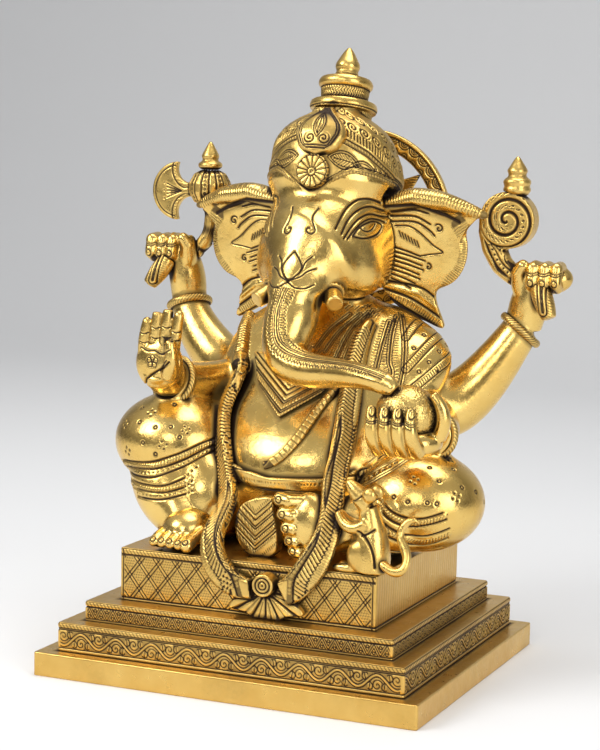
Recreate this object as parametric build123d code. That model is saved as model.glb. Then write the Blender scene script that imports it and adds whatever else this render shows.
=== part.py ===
"""Seated four-armed, elephant-headed devotional figure in cast brass, on a stepped plinth.

The object is built as its separate castings.  Limbs, ears, crown, halo and the things held in the
hands meet their neighbours on fitted faces and are located by round tenons, as brazed castings are.
Frame: +Z up, the figure faces -Y, its left side is +X, the origin is the centre of the plinth's underside.
"""

import os
from math import cos, pi, radians, sin

from build123d import *

# Plinth ------------------------------------------------------------------------------------------
TIERS = {  # name: (width, depth, height), from the table upwards
    "base_slab": (196.0, 170.0, 11.5),
    "scroll_tier": (178.0, 156.0, 14.0),
    "lozenge_tier": (159.0, 137.0, 9.5),
    "seat_block": (133.0, 114.0, 25.5),
}
TIER_WALL = 5.0
TIER_ROOF = 4.0
SLAB_FLOOR = 3.0  # the slab is closed below, so the whole underside is one flat face
TIER_BEARING = 7.0  # how far each tier stands in from the opening of the one below
SEAT_Z = sum(size[2] for size in TIERS.values())

# Figure ------------------------------------------------------------------------------------------
SHELL = 6.5  # wall of the cored torso and head
TORSO_FLOOR = 12.0  # thickness of the torso's floor, which takes the stud
NECK_RADIUS = 10.0
NECK_TOP = 181.0
TORSO_SECTIONS = (  # (height, centre x, centre y, half width, half depth)
    (SEAT_Z, 0, 20, 40, 35),
    (75, 2, 14, 45, 39),
    (94, 3, 11, 48, 42),
    (114, 3, 14, 49, 40),
    (134, 6, 25, 57, 33),
    (150, 8, 32, 60, 27),
    (163, 7, 37, 53, 21),
    (175, 2, 40, 31, 16),
    (181, 0, 42, 17, 12),
)
HEAD_CENTRE = (0, 42, 208)
SKULL = (31, 30.5, 31)
CROWN_BASE = (0, 43, 231)
CROWN_TILT = 12.0  # the crown leans back by this many degrees
CROWN_HEIGHT = 75.3
HALO_CENTRE = (1, 84, 217)
HALO_RADIUS = 47.0
HALO_BAND = 9.0
HALO_THICK = 4.0
HALO_POINTS = 14

# Joints between castings -------------------------------------------------------------------------
TENON = 4.0  # radius of the tenon at a shoulder
TENON_LENGTH = 9.0
SMALL_TENON = 2.0  # radius of the tenon on an ear, finial or attribute
STUD_RADIUS = 4.0
STUD_LENGTH = 26.0


# Shape helpers -----------------------------------------------------------------------------------
def ellipsoid(centre, half_sizes):
    """A solid ellipsoid with its axes along X, Y and Z."""
    return Pos(*centre) * scale(Sphere(1), by=half_sizes)


def planes_along(points, up):
    """One plane at each point, square to the smooth curve through the points."""
    spine = Spline(*points)
    planes = []
    for point in points:
        tangent = spine.tangent_at(spine.param_at_point(Vector(*point)))
        planes.append(Plane(origin=point, x_dir=Vector(*up).cross(tangent), z_dir=tangent))
    return planes


def limb(points, radii, up=(0, 1, 0)):
    """A round limb through the points, with its own radius at each."""
    return loft([plane * Circle(r) for plane, r in zip(planes_along(points, up), radii)])


def ribbon(points, widths, thickness, heart):
    """A flat strip through the points, whose broad side faces out from the upright line through heart."""
    spine = Spline(*points)
    sections = []
    for point, width in zip(points, widths):
        tangent = spine.tangent_at(spine.param_at_point(Vector(*point)))
        outward = Vector(point[0] - heart[0], point[1] - heart[1], 0)
        plane = Plane(origin=point, x_dir=tangent.cross(outward), z_dir=tangent)
        sections.append(plane * RectangleRounded(width, thickness, thickness * 0.3))
    return loft(sections)


def peg(start, end, radius):
    """A round tenon from start to end."""
    start, end = Vector(*start), Vector(*end)
    plane = Plane(origin=start, z_dir=end - start)
    return extrude(plane * Circle(radius), (end - start).length)


def toward(start, end, distance):
    """The point that lies the given distance from start on the way to end."""
    step = Vector(*end) - Vector(*start)
    return tuple(Vector(*start) + step.normalized() * distance)


def turned(profile, axis_plane):
    """A turned solid: the (radius, height) profile revolved about the plane's own Z."""
    outline = Polyline((0, profile[0][1]), *profile, (0, profile[-1][1]), close=True)
    return axis_plane * revolve(Plane.XZ * make_face(outline), Axis.Z)


def plate(plane, outline, thickness):
    """A plate of the closed smooth outline, centred on the plane."""
    return extrude(plane * make_face(Spline(*outline, periodic=True)), thickness / 2, both=True)


def mirrored(shape):
    """The same casting for the figure's other side."""
    return mirror(shape, Plane.YZ)


def largest(shape):
    """The largest solid of a cut, without the slivers a fitted face can leave."""
    return max(shape.solids(), key=lambda solid: solid.volume)


# Plinth ------------------------------------------------------------------------------------------
def build_plinth():
    """The four hollow tiers: the slab is closed below, the others open, and all but the top one above."""
    names = list(TIERS)
    parts, floor = {}, 0.0
    for index, name in enumerate(names):
        width, depth, height = TIERS[name]
        closed_below = SLAB_FLOOR if index == 0 else 0.0
        room = height - TIER_ROOF - closed_below
        tier = Pos(0, 0, floor + height / 2) * Box(width, depth, height)
        tier -= Pos(0, 0, floor + closed_below + room / 2) * Box(width - 2 * TIER_WALL, depth - 2 * TIER_WALL, room)
        if index + 1 < len(names):
            above = TIERS[names[index + 1]]
            opening = Box(above[0] - 2 * TIER_BEARING, above[1] - 2 * TIER_BEARING, 2 * TIER_ROOF)
            tier -= Pos(0, 0, floor + height) * opening
        parts[name] = tier
        floor += height
    return parts


def build_fixing():
    """The stud that holds the figure down through the seat, with its washer and nut below."""
    roof_bottom = SEAT_Z - TIER_ROOF
    top = roof_bottom - 12 + STUD_LENGTH
    axis = Plane(origin=(0, TORSO_SECTIONS[0][2], 0))
    stud = axis * Pos(0, 0, top - STUD_LENGTH / 2) * Cylinder(STUD_RADIUS, STUD_LENGTH)
    ring = Cylinder(3 * STUD_RADIUS, 1.6) - Cylinder(STUD_RADIUS + 0.3, 1.6)
    washer = axis * Pos(0, 0, roof_bottom - 0.8) * ring
    nut_height = 6.5
    hexagon = RegularPolygon(7.5, 6) - Circle(STUD_RADIUS)
    nut = axis * Pos(0, 0, roof_bottom - 1.6 - nut_height) * extrude(hexagon, nut_height)
    return {"figure_stud": stud, "stud_washer": washer, "stud_nut": nut}


# Torso and legs ----------------------------------------------------------------------------------
def torso_loft(sections, grow):
    """The lofted body, grown or shrunk all round."""
    return loft([Pos(x, y, z) * Ellipse(rx + grow, ry + grow) for z, x, y, rx, ry in sections])


def build_torso():
    """The solid outside of the torso, and the casting itself: cored, with a thick floor for the stud."""
    skin = torso_loft(TORSO_SECTIONS, 0)
    core_height = 200.0
    above_floor = Pos(0, 0, SEAT_Z + TORSO_FLOOR + core_height / 2) * Box(200, 200, core_height)
    core = torso_loft(TORSO_SECTIONS[:-2], -SHELL) & above_floor
    neck = peg((0, 42, 179), (0, 42, NECK_TOP), NECK_RADIUS)
    return skin, skin - core + neck





def build_legs(torso_skin, right_foot, left_foot):
    """The raised right knee and the left leg that lies folded across the front of the seat."""
    right = ellipsoid((-61.5, -8, 107), (31, 30, 24))
    right += limb([(-30, 24, 84), (-46, 8, 93), (-61, -8, 104)], [23, 25, 24])
    right += limb([(-60, -9, 101), (-56, -25, 85), (-44, -33, 71)], [23, 18, 11])
    right += ellipsoid((-40, -14, 82), (21, 23, 25))
    left = ellipsoid((69, -8, 88), (31, 28, 24))
    left += limb([(32, 24, 84), (50, 6, 84), (67, -8, 86)], [22, 23, 22])
    left += limb([(64, -16, 84), (48, -32, 79), (33, -41, 76)], [20, 15, 10])
    above_seat = Pos(0, 0, SEAT_Z + 60) * Box(240, 200, 120)
    return (
        largest((right & above_seat) - torso_skin - right_foot),
        largest((left & above_seat) - torso_skin - left_foot),
    )


def build_feet():
    """The flat right foot, and the left foot turned on its side with its toes stacked."""
    right = ellipsoid((-40, -34, 68), (11.5, 15, 10))
    for i in range(5):
        right += ellipsoid((-49 + 4.2 * i, -48.5 - 1.5 * (i == 4), 64.8), (2.6, 6.5, 4.0))
    left = ellipsoid((26.5, -42, 78), (12, 8.5, 15.5))
    for i, z in enumerate((89.5, 82.2, 75.4, 69.8, 65.2)):
        left += ellipsoid((17 + 1.8 * i, -46, z), (6, 3.6, 3.4 - 0.25 * i))
    above_seat = Pos(0, 0, SEAT_Z + 40) * Box(240, 200, 80)
    return largest(right & above_seat), largest(left & above_seat)


# Head --------------------------------------------------------------------------------------------
TRUNK_PATH = [
    (0, 17, 206), (0, 5, 190), (0, -7, 174), (0, -15, 160), (5, -20, 152),
    (17, -25, 149), (32, -32, 149.5), (48, -40, 150), (59, -44, 149), (69, -46, 145),
]
TRUNK_RADII = [15, 14.5, 13, 11.5, 10, 8.6, 7.2, 6.2, 5.4, 3]


def build_head():
    """Skull, cheeks and trunk in one casting, cored above its neck socket."""
    head = ellipsoid(HEAD_CENTRE, SKULL)
    for side in (-1, 1):
        head += ellipsoid((15 * side, 28, 193), (15, 14, 13.5))
    head += limb(TRUNK_PATH, TRUNK_RADII)
    cavity = ellipsoid(HEAD_CENTRE, tuple(half - SHELL for half in SKULL))
    return head - cavity - peg((0, 42, 160), (0, 42, NECK_TOP), NECK_RADIUS)


def build_ear(head, cap):
    """The left ear: a fanned plate with a rolled upper rim, on a tenon in the side of the head."""
    fan = Plane(origin=(30, 44, 200), x_dir=(0.99, 0.12, 0), z_dir=(0.12, -0.98, -0.14))
    outline = [(-1, 24), (20, 31), (46, 23), (37, 11), (36.5, 2), (32, -8), (24, -18), (28, -35), (13, -29), (-1, -20)]
    ear = plate(fan, outline, 4.0)
    ear += limb([(30, 42, 227), (45, 41, 231.5), (62, 43.5, 229), (78, 48, 222.5)], [3.4, 3.6, 3.2, 1.8], (0, 0, 1))
    tenon = peg((36, 43.5, 208), (27, 42, 208), SMALL_TENON)
    return largest(ear - head - cap) + tenon, tenon


def build_tusks(head):
    """The left and right tusk, each with a collar at its root, cut to fit the asymmetric trunk."""
    root, tip = (12, 10, 187), (21, -4, 179)
    tusk = limb([root, (16.5, 3, 183), tip], [4.6, 4.6, 4.2])
    collar = peg(toward(root, tip, 3), toward(root, tip, 9), 6.4)
    tusk += collar
    return largest(tusk - head), largest(mirrored(tusk) - head)


# Crown and halo ----------------------------------------------------------------------------------
def crown_plane(height):
    """The plane square to the crown's leaning axis at a height along it."""
    lean = (0, sin(radians(CROWN_TILT)), cos(radians(CROWN_TILT)))
    origin = Vector(*CROWN_BASE) + Vector(*lean) * height
    return Plane(origin=origin, x_dir=(1, 0, 0), z_dir=lean)


def build_crown(head):
    """The cap with its brow band, the two ribbed drums under their discs, and the pointed finial."""
    axis = crown_plane(0)
    cap = turned([(30, -4), (34, 2), (34.5, 9), (32.5, 17), (28.5, 25), (22, 32), (16, 35.5)], axis)
    cap = largest(cap - head)
    lower = turned([(14.8, 35.5), (14.8, 41), (17, 42), (17.4, 44), (16.6, 46.5), (12, 47)], axis)
    upper = turned([(11.8, 47), (12.6, 53.5), (13.8, 54.5), (14, 56.5), (13, 58.5), (8, 60)], axis)
    finial = turned([(7, 60), (5.2, 62.5), (6.4, 64.5), (6.2, 66.5), (3, CROWN_HEIGHT - 3), (0.8, CROWN_HEIGHT)], axis)
    joints = {"finial": (55, 3.0), "upper": (42, 6.0), "lower": (30, 8.0)}
    pegs = {
        name: axis * Pos(0, 0, start + 3) * Cylinder(radius, 6) for name, (start, radius) in joints.items()
    }
    finial += pegs["finial"] & (axis * Pos(0, 0, 57.6) * Cylinder(3, 5.2))
    upper = upper - finial + (axis * Pos(0, 0, 44.5) * Cylinder(6, 5.2))
    lower = lower - upper + (axis * Pos(0, 0, 33) * Cylinder(8, 5.2))
    cap -= lower
    return {"crown_cap": cap, "crown_lower_drum": lower, "crown_upper_drum": upper, "crown_finial": finial}


def build_crown_front(cap):
    """The leaf-shaped jewel and the flower boss on the front of the cap."""
    face = Plane(origin=(2.5, 18, 262), x_dir=(1, 0, 0), z_dir=(0, -0.86, 0.51))
    leaf = plate(face, [(0, 19), (6.5, 9), (11.5, 0), (8, -9), (0, -11.5), (-8, -9), (-11.5, 0), (-6.5, 9)], 9)
    low = Plane(origin=(1.5, 12, 242.5), x_dir=(1, 0, 0), z_dir=(0, -0.98, 0.2))
    boss = extrude(low * Circle(8.5), 3.5, both=True)
    return {"crown_leaf": largest(leaf - cap), "crown_boss": largest(boss - cap)}


def build_halo(torso_skin):
    """The ring and its star of leaves behind the head, on a stem from the figure's back."""
    upright = Plane(origin=HALO_CENTRE, x_dir=(1, 0, 0), z_dir=(0, -1, 0))
    inner = HALO_RADIUS - HALO_BAND
    ring = extrude(upright * (Circle(HALO_RADIUS) - Circle(inner)), HALO_THICK / 2, both=True)
    points = []
    for i in range(2 * HALO_POINTS):
        radius = inner + 0.8 if i % 2 == 0 else inner * 0.66
        points.append((radius * sin(pi * i / HALO_POINTS), radius * cos(pi * i / HALO_POINTS)))
    star_face = make_face(Polyline(*points, close=True)) - Circle(inner * 0.3)
    star = extrude(upright * star_face, HALO_THICK * 0.3, both=True)
    stem = limb([(1, 50, 150), (1, 73, 163), (1, 84, 181)], [6, 5, 4], (1, 0, 0))
    ring -= star
    stem = largest(stem - torso_skin - ring - star)
    return {"halo_ring": ring, "halo_star": star, "halo_stem": stem}


# Arms, hands and what they hold -------------------------------------------------------------------
ARMS = {  # shoulder to wrist, with radii
    "rear_right": ([(-44, 38, 140), (-63, 54, 138), (-81, 60, 152), (-92, 64, 171)], [14, 14, 12, 9.5]),
    "rear_left": ([(44, 38, 130), (62, 53, 126), (81, 60, 146), (95, 64, 167)], [14, 15, 12, 9.5]),
    "front_right": ([(-42, 24, 134), (-53, 6, 133), (-61, -16, 138)], [13, 12.5, 10.5]),
    "front_left": ([(44, 24, 130), (65, 13, 123), (75, -13, 121)], [14, 13, 10]),
}
BANGLE_RADIUS = 2.2


def build_arm(name, torso_skin):
    """One arm, cut to fit the shoulder it is brazed to, and its tenon."""
    path, radii = ARMS[name]
    arm = largest(limb(path, radii, (0, 0, 1)) - torso_skin)
    root = toward(path[0], path[1], 4)
    tenon = peg(toward(root, path[1], -5), toward(root, path[1], TENON_LENGTH + 4), TENON)
    return arm + tenon, tenon


def build_bangle(name, arm):
    """The ring round a wrist."""
    path, radii = ARMS[name]
    spine = Spline(*path)
    plane = Plane(origin=path[-1], z_dir=spine.tangent_at(1))
    ring = plane * Pos(0, 0, -BANGLE_RADIUS) * Torus(radii[-1] + 0.8, BANGLE_RADIUS)
    return largest(ring - arm)


def build_fist(side):
    """A rear hand: palm, thumb and raised forefinger, and three curled fingers facing front."""
    x, y, z = (101.5, 62, 185) if side > 0 else (-96.5, 62, 191)
    wrist = ARMS["rear_left" if side > 0 else "rear_right"][0][-1]
    hand = limb([wrist, (x - 3 * side, y + 1, z - 4), (x, y, z + 6)], [9, 9.5, 8], (0, 1, 0))
    for i in range(3):
        knuckle = (x + side * (1 + 5.4 * i), y - 6, z + 9 + 0.6 * i)
        hand += ellipsoid(knuckle, (3.3, 6.5, 7.2))
    hand += ellipsoid((x - 8 * side, y - 4, z + 6), (3.6, 4.4, 9))
    hand += ellipsoid((x + 6 * side, y - 3, z + 8), (9, 6, 4.5))
    return hand


def build_blessing_hand():
    """The front right hand, raised palm outward with the fingers together."""
    x, y, z = -60.5, -30, 148
    hand = ellipsoid((x, y, z), (12.5, 6.5, 13.5))
    hand += limb([(-61, -15, 138), (-61, -22, 141), (x, y, z - 1)], [9.5, 10, 9.6], (1, 0, 0))
    for i, top in enumerate((167.5, 173, 174.5, 171.5)):
        root, tip = (x - 8 + 5.3 * i, y - 1, z + 4), (x - 6 + 5.8 * i, y - 2, top)
        hand += limb([root, (0.5 * (root[0] + tip[0]), y - 1.8, z + 14), tip], [3.1, 3.0, 2.5])
        hand += ellipsoid(tip, (2.5, 2.5, 3))
    hand += limb([(x + 7, y - 3, z - 6), (x + 9.5, y - 6, z + 3), (x + 8.5, y - 6, z + 12)], [4.2, 3.4, 2.4])
    return hand


def build_offering_hand(sweet):
    """The front left hand, cupped under the sweet with its fingers up the near side."""
    hand = ellipsoid((73, -37, 121), (16, 14, 8.5))
    for i in range(4):
        x = 61.5 + 6.4 * i
        hand += limb([(x, -45, 117), (x - 0.6, -53.5, 126), (x - 1.4, -52, 138)], [3.5, 3.3, 2.2])
    hand += limb([(87, -37, 124), (90, -39, 134), (85, -40, 144)], [4.0, 3.4, 2.3], (0, 1, 0))
    return hand - sweet


def build_axe(hand):
    """Blade, ribbed bulb, finial, curved shaft and the loop of its butt under the fist."""
    centre = (-79.5, 62, 231)
    up = Plane(origin=centre)
    bulb = turned([(4, -9.5), (8.5, -7.5), (11.2, -2.5), (11.2, 2.5), (8.5, 7.5), (4.5, 9.5)], up)
    finial = turned([(4.5, 9.5), (6.5, 11), (6.5, 13), (3.5, 14.5), (4.8, 16), (4.8, 17), (0.6, 25)], up)
    side = Plane(origin=(centre[0], centre[1], centre[2] - 2), x_dir=(1, 0, 0), z_dir=(0, -1, 0))
    edge = ThreePointArc((-18, 15.5), (-33.4, 0), (-18, -15.5))
    lower = ThreePointArc((-18, -15.5), (-17.5, -6.5), (-9, -3))
    upper = ThreePointArc((-9, 5), (-17.5, 7), (-18, 15.5))
    outline = Curve() + [edge, lower, Line((-9, -3), (-9, 5)), upper]
    blade = extrude(side * make_face(outline.edges()), 2.2, both=True)
    shaft = limb([(-79.5, 62, 222), (-78.5, 62, 211), (-82.5, 62, 202), (-88.5, 61.5, 196)], [4.6, 4.4, 4.4, 4.2])
    butt = limb([(-99.5, 54, 193), (-104.5, 51, 185), (-108.5, 49.5, 179)], [4.8, 5, 3.6])
    return {
        "axe_bulb": bulb,
        "axe_finial": finial,
        "axe_blade": largest(blade - bulb),
        "axe_shaft": largest(shaft - bulb - hand),
        "axe_butt": largest(butt - hand),
    }


def build_noose(hand):
    """The coiled noose, its finial, and the loop of its end under the fist."""
    centre = (86.5, 62, 220)
    side = Plane(origin=centre, x_dir=(1, 0, 0), z_dir=(0, -1, 0))
    coil = extrude(side * Circle(14.2), 5, both=True)
    coil += limb([(76.5, 62, 216), (78, 62, 207), (82.5, 62, 198), (90.5, 61.5, 192)], [4.2, 4.6, 4.6, 4.2])
    up = Plane(origin=(centre[0] + 3.5, centre[1], centre[2]))
    finial = turned([(5, 12), (7, 14.5), (7, 16), (6, 17), (7, 18), (7, 20), (4, 22), (5.4, 24.5), (0.7, 32)], up)
    butt = limb([(105.5, 54, 188), (109.5, 51, 180), (112.5, 49.5, 173)], [4.8, 5, 3.6])
    coil = largest(coil - hand)
    return {
        "noose_coil": coil,
        "noose_finial": largest(finial - coil),
        "noose_butt": largest(butt - hand),
    }


# Ornaments and mouse ------------------------------------------------------------------------------
def build_ornaments(torso_skin):
    """The necklace and belt, cut from a sheet that hugs the body, and the cord across the belly."""
    sheet = torso_loft(TORSO_SECTIONS, 3) - torso_skin
    front = Plane(origin=(0, 20, 0), x_dir=(1, 0, 0), z_dir=(0, -1, 0))
    collar = Polyline((-28, 152), (-20, 138), (-1, 124), (17, 136), (26, 152), close=True)
    belt = Polyline((-36, 97), (-17, 93), (0, 90), (30, 91), (40, 94), (40, 102), (28, 98), (0, 97), (-17, 100), (-36, 104), close=True)
    thread = ribbon(
        [(26, -3, 141), (18, -10.5, 130.6), (13.5, -21.5, 119.5), (6.5, -28.8, 108.2), (-3, -30.5, 102)],
        [5] * 5, 5, (2, 14),
    )
    return {
        "necklace": largest(sheet & extrude(front * make_face(collar), 60)),
        "waist_belt": largest(sheet & extrude(front * make_face(belt), 60)),
        "sacred_thread": largest(thread - torso_skin),
    }


def build_sashes(neighbours):
    """The two hanging ends of the shawl, the flower boss that ties them and the bow below it."""
    heart = (2, 30)
    ledge = SEAT_Z - TIERS["seat_block"][2]
    left = ribbon(
        [(30, 22, 167), (29, 8, 155), (30.5, -3, 140.5), (32.5, -13, 128), (34, -21, 116), (35, -30, 104),
         (37.5, -41, 94), (40, -50, 82), (38.5, -57, 70), (31, -61, 56), (22, -61.5, 49)],
        [10, 10.5, 11, 11, 11, 11, 11, 11, 13, 14, 12], 6, heart,
    )
    right = ribbon(
        [(-33, 6, 146), (-32, -2, 138), (-34, -8, 128), (-32, -17, 117), (-26, -26, 102), (-21, -33, 91),
         (-17.5, -45, 80), (-17.5, -56, 70), (-13.5, -61, 60), (-4.5, -61.5, 51), (6, -61.5, 49)],
        [10, 10, 9.5, 9.5, 9.5, 10, 11, 12, 13, 12, 9], 6, heart,
    )
    rosette = peg((13, -57, 52), (13, -66, 52), 5.4)
    bow = Plane(origin=(13, -59.4, 42), x_dir=(1, 0, 0), z_dir=(0, -1, 0))
    outline = [(0, 9), (13, 4), (19, -3), (10, -5), (4, -11), (-4, -11), (-10, -5), (-19, -3), (-13, 4)]
    fan = plate(bow, outline, 4.6)
    for neighbour in neighbours:
        left = left - neighbour
        right = right - neighbour
    left = largest(left - rosette)
    right = largest(right - rosette - left)
    fan = largest((fan & Pos(0, -60, ledge + 40) * Box(120, 40, 80)) - rosette - left - right)
    return {"left_sash": left, "right_sash": right, "sash_rosette": rosette, "sash_bow": fan}


def build_apron(neighbours):
    """The pleated cloth end that hangs between the feet."""
    face = Plane(origin=(0, -41, 75), x_dir=(1, 0, 0), z_dir=(0, -1, 0))
    apron = plate(face, [(8, 13), (10, 0), (9, -13), (-2, -15), (-10, -7), (-11, 4), (-5, 12)], 8)
    apron &= Pos(0, 0, SEAT_Z + 40) * Box(240, 200, 80)
    for neighbour in neighbours:
        apron -= neighbour
    return largest(apron)


def build_mouse(neighbours):
    """The mouse that sits up at the figure's left foot, and its curling tail."""
    body = limb([(61, -51, SEAT_Z + 1), (61.5, -51, 71), (61, -51, 81), (59, -51, 91)], [8.5, 8.6, 6.6, 4.6])
    body += limb([(60, -51, 92), (54.5, -51.5, 97), (49, -52, 103)], [5.6, 4.4, 1.4], (0, 1, 0))
    for side in (-1, 1):
        body += ellipsoid((61.5, -51 + 4.8 * side, 97.5), (3.4, 2.4, 3.6))
        body += limb([(60, -51 + 3.5 * side, 84), (52, -51 + 4 * side, 81.5), (45, -52 + side, 88)], [3.4, 2.8, 1.8])
        body += ellipsoid((57.5, -51 + 5 * side, 69), (6.5, 3.6, 7.5))
        body += ellipsoid((51.5, -51 + 4 * side, 62.6), (8, 2.6, 2.2))
    above_seat = Pos(0, 0, SEAT_Z + 40) * Box(240, 200, 80)
    tail = limb(
        [(66, -55, 67), (72, -57, 64.6), (78.5, -57, 64.6), (80.2, -55, 69.5), (75.5, -51.5, 78.5), (77, -50, 84.5),
         (84, -49, 82)],
        [2.4, 2.3, 2.2, 2.1, 2.0, 1.9, 1.1], (0, 1, 0),
    )
    body &= above_seat
    for neighbour in neighbours:
        body = body - neighbour
        tail = tail - neighbour
    body = largest(body)
    return {"mouse": body, "mouse_tail": largest(tail - body)}


# Assembly ----------------------------------------------------------------------------------------
def build_all():
    """Every casting, in an order that lets each be cut to fit those it meets."""
    parts = build_plinth()
    parts.update(build_fixing())
    torso_skin, torso = build_torso()
    head = build_head()
    right_foot, left_foot = build_feet()
    right_leg, left_leg = build_legs(torso_skin, right_foot, left_foot)

    for name in ARMS:
        arm, tenon = build_arm(name, torso_skin)
        resting_leg = right_leg if "right" in name else left_leg
        arm -= resting_leg
        bangle = build_bangle(name, arm) - resting_leg
        parts[f"{name}_arm"], parts[f"{name}_bangle"] = arm, bangle
        torso -= tenon
    parts["front_right_arm"] -= parts["rear_right_arm"]
    parts["front_left_arm"] -= parts["rear_left_arm"]
    for part in (parts["figure_stud"], head):
        torso -= part
    parts["seat_block"] -= parts["figure_stud"]

    sweet = ellipsoid((72, -38, 134), (14.5, 13.5, 13))
    hands = {
        "rear_right_hand": (build_fist(-1), "rear_right"),
        "rear_left_hand": (build_fist(1), "rear_left"),
        "blessing_hand": (build_blessing_hand(), "front_right"),
        "offering_hand": (build_offering_hand(sweet), "front_left"),
    }
    for name, (hand, arm_name) in hands.items():
        parts[name] = largest(hand - parts[f"{arm_name}_arm"] - parts[f"{arm_name}_bangle"] - right_leg)
    parts.update(build_axe(parts["rear_right_hand"]))
    parts.update(build_noose(parts["rear_left_hand"]))

    left_tusk, right_tusk = build_tusks(head)
    parts.update(build_crown(head))
    left_ear, ear_tenon = build_ear(head, parts["crown_cap"])
    head = head - ear_tenon - mirrored(ear_tenon)
    parts.update(build_crown_front(parts["crown_cap"]))
    parts.update(build_halo(torso_skin))
    parts.update(build_ornaments(torso_skin))
    parts["waist_belt"] = largest(parts["waist_belt"] - right_leg - left_leg)

    legs = (right_leg, left_leg, right_foot, left_foot)
    arms = tuple(parts[f"{name}_arm"] for name in ARMS)
    worn = (parts["waist_belt"], parts["sacred_thread"], parts["necklace"])
    parts.update(build_sashes((torso_skin, parts["seat_block"], head, *legs, *arms, *worn)))
    parts["front_apron"] = build_apron((torso_skin, *legs, parts["left_sash"], parts["right_sash"]))
    parts.update(build_mouse((parts["left_sash"], left_leg, left_foot, parts["seat_block"])))
    parts.update({
        "torso": torso,
        "head": head,
        "right_leg": right_leg,
        "left_leg": left_leg,
        "right_foot": right_foot,
        "left_foot": left_foot,
        "left_ear": left_ear,
        "right_ear": mirrored(left_ear),
        "left_tusk": left_tusk,
        "right_tusk": right_tusk,
        "sweet": sweet - head,
    })
    return parts


def main():
    os.makedirs("parts", exist_ok=True)
    for old in os.listdir("parts"):
        os.remove(os.path.join("parts", old))
    for name, shape in build_all().items():
        export_step(shape, os.path.join("parts", f"{name}.step"))


main()
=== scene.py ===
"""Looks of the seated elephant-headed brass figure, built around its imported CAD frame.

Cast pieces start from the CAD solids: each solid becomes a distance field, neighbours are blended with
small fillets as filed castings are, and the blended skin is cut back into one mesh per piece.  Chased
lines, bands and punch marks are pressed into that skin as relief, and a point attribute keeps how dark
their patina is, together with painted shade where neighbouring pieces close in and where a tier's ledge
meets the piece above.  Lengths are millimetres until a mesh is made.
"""

from math import cos, hypot, pi, radians, sin

import bpy
import numpy as np
import openvdb
from mathutils import Matrix, Vector


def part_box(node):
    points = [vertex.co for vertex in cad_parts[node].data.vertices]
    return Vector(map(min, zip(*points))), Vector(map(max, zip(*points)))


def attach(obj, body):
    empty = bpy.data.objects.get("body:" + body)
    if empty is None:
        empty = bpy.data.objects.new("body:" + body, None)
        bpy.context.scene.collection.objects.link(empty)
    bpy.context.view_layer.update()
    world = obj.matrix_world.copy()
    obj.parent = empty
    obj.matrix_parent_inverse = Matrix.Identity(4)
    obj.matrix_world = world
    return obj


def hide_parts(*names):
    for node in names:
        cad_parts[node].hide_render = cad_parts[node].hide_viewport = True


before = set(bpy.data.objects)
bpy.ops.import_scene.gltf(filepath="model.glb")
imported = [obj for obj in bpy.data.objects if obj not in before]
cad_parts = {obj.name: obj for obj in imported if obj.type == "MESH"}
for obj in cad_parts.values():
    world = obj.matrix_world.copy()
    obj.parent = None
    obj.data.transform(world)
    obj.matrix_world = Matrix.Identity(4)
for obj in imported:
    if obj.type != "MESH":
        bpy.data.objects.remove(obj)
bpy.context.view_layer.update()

MM = 0.001
FAR = 99.0
BAND = 6.0  # distances are exact this far from a surface
FINE, MEDIUM = 0.45, 0.6  # sample spacing of a field
BRASS, CHASED, PLINTH, STEEL = "polished_brass", "chased_brass", "plinth_brass", "fixing_steel"
TIERS = ("base_slab", "scroll_tier", "lozenge_tier", "seat_block")
FIXINGS = ("figure_stud", "stud_nut", "stud_washer")
BODY = (  # cast in one with the figure: their meetings are filed to small fillets
    "torso", "head", "left_leg", "right_leg", "left_foot", "right_foot", "left_ear", "right_ear",
    "front_left_arm", "front_right_arm", "rear_left_arm", "rear_right_arm",
    "blessing_hand", "offering_hand", "rear_left_hand", "rear_right_hand",
)
BOXES = {node: [np.array(corner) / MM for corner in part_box(node)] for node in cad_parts}


def cad_mesh(node):
    """A CAD node's points in millimetres and its triangles."""
    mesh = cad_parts[node].data
    mesh.calc_loop_triangles()
    points = np.empty(len(mesh.vertices) * 3, np.float32)
    mesh.vertices.foreach_get("co", points)
    triangles = np.empty(len(mesh.loop_triangles) * 3, np.int32)
    mesh.loop_triangles.foreach_get("vertices", triangles)
    return points.reshape(-1, 3) / MM, triangles.reshape(-1, 3).astype(np.uint32)


# Distance fields -----------------------------------------------------------------------------------
level_sets = {}


def level_set(node, voxel):
    """The sparse distance field of a CAD node."""
    key = (node, voxel)
    if key not in level_sets:
        points, triangles = cad_mesh(node)
        transform = openvdb.createLinearTransform(voxelSize=voxel)
        level_sets[key] = openvdb.FloatGrid.createLevelSetFromPolygons(
            points, triangles=triangles, transform=transform, halfWidth=BAND / voxel
        )
    return level_sets[key]


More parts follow.
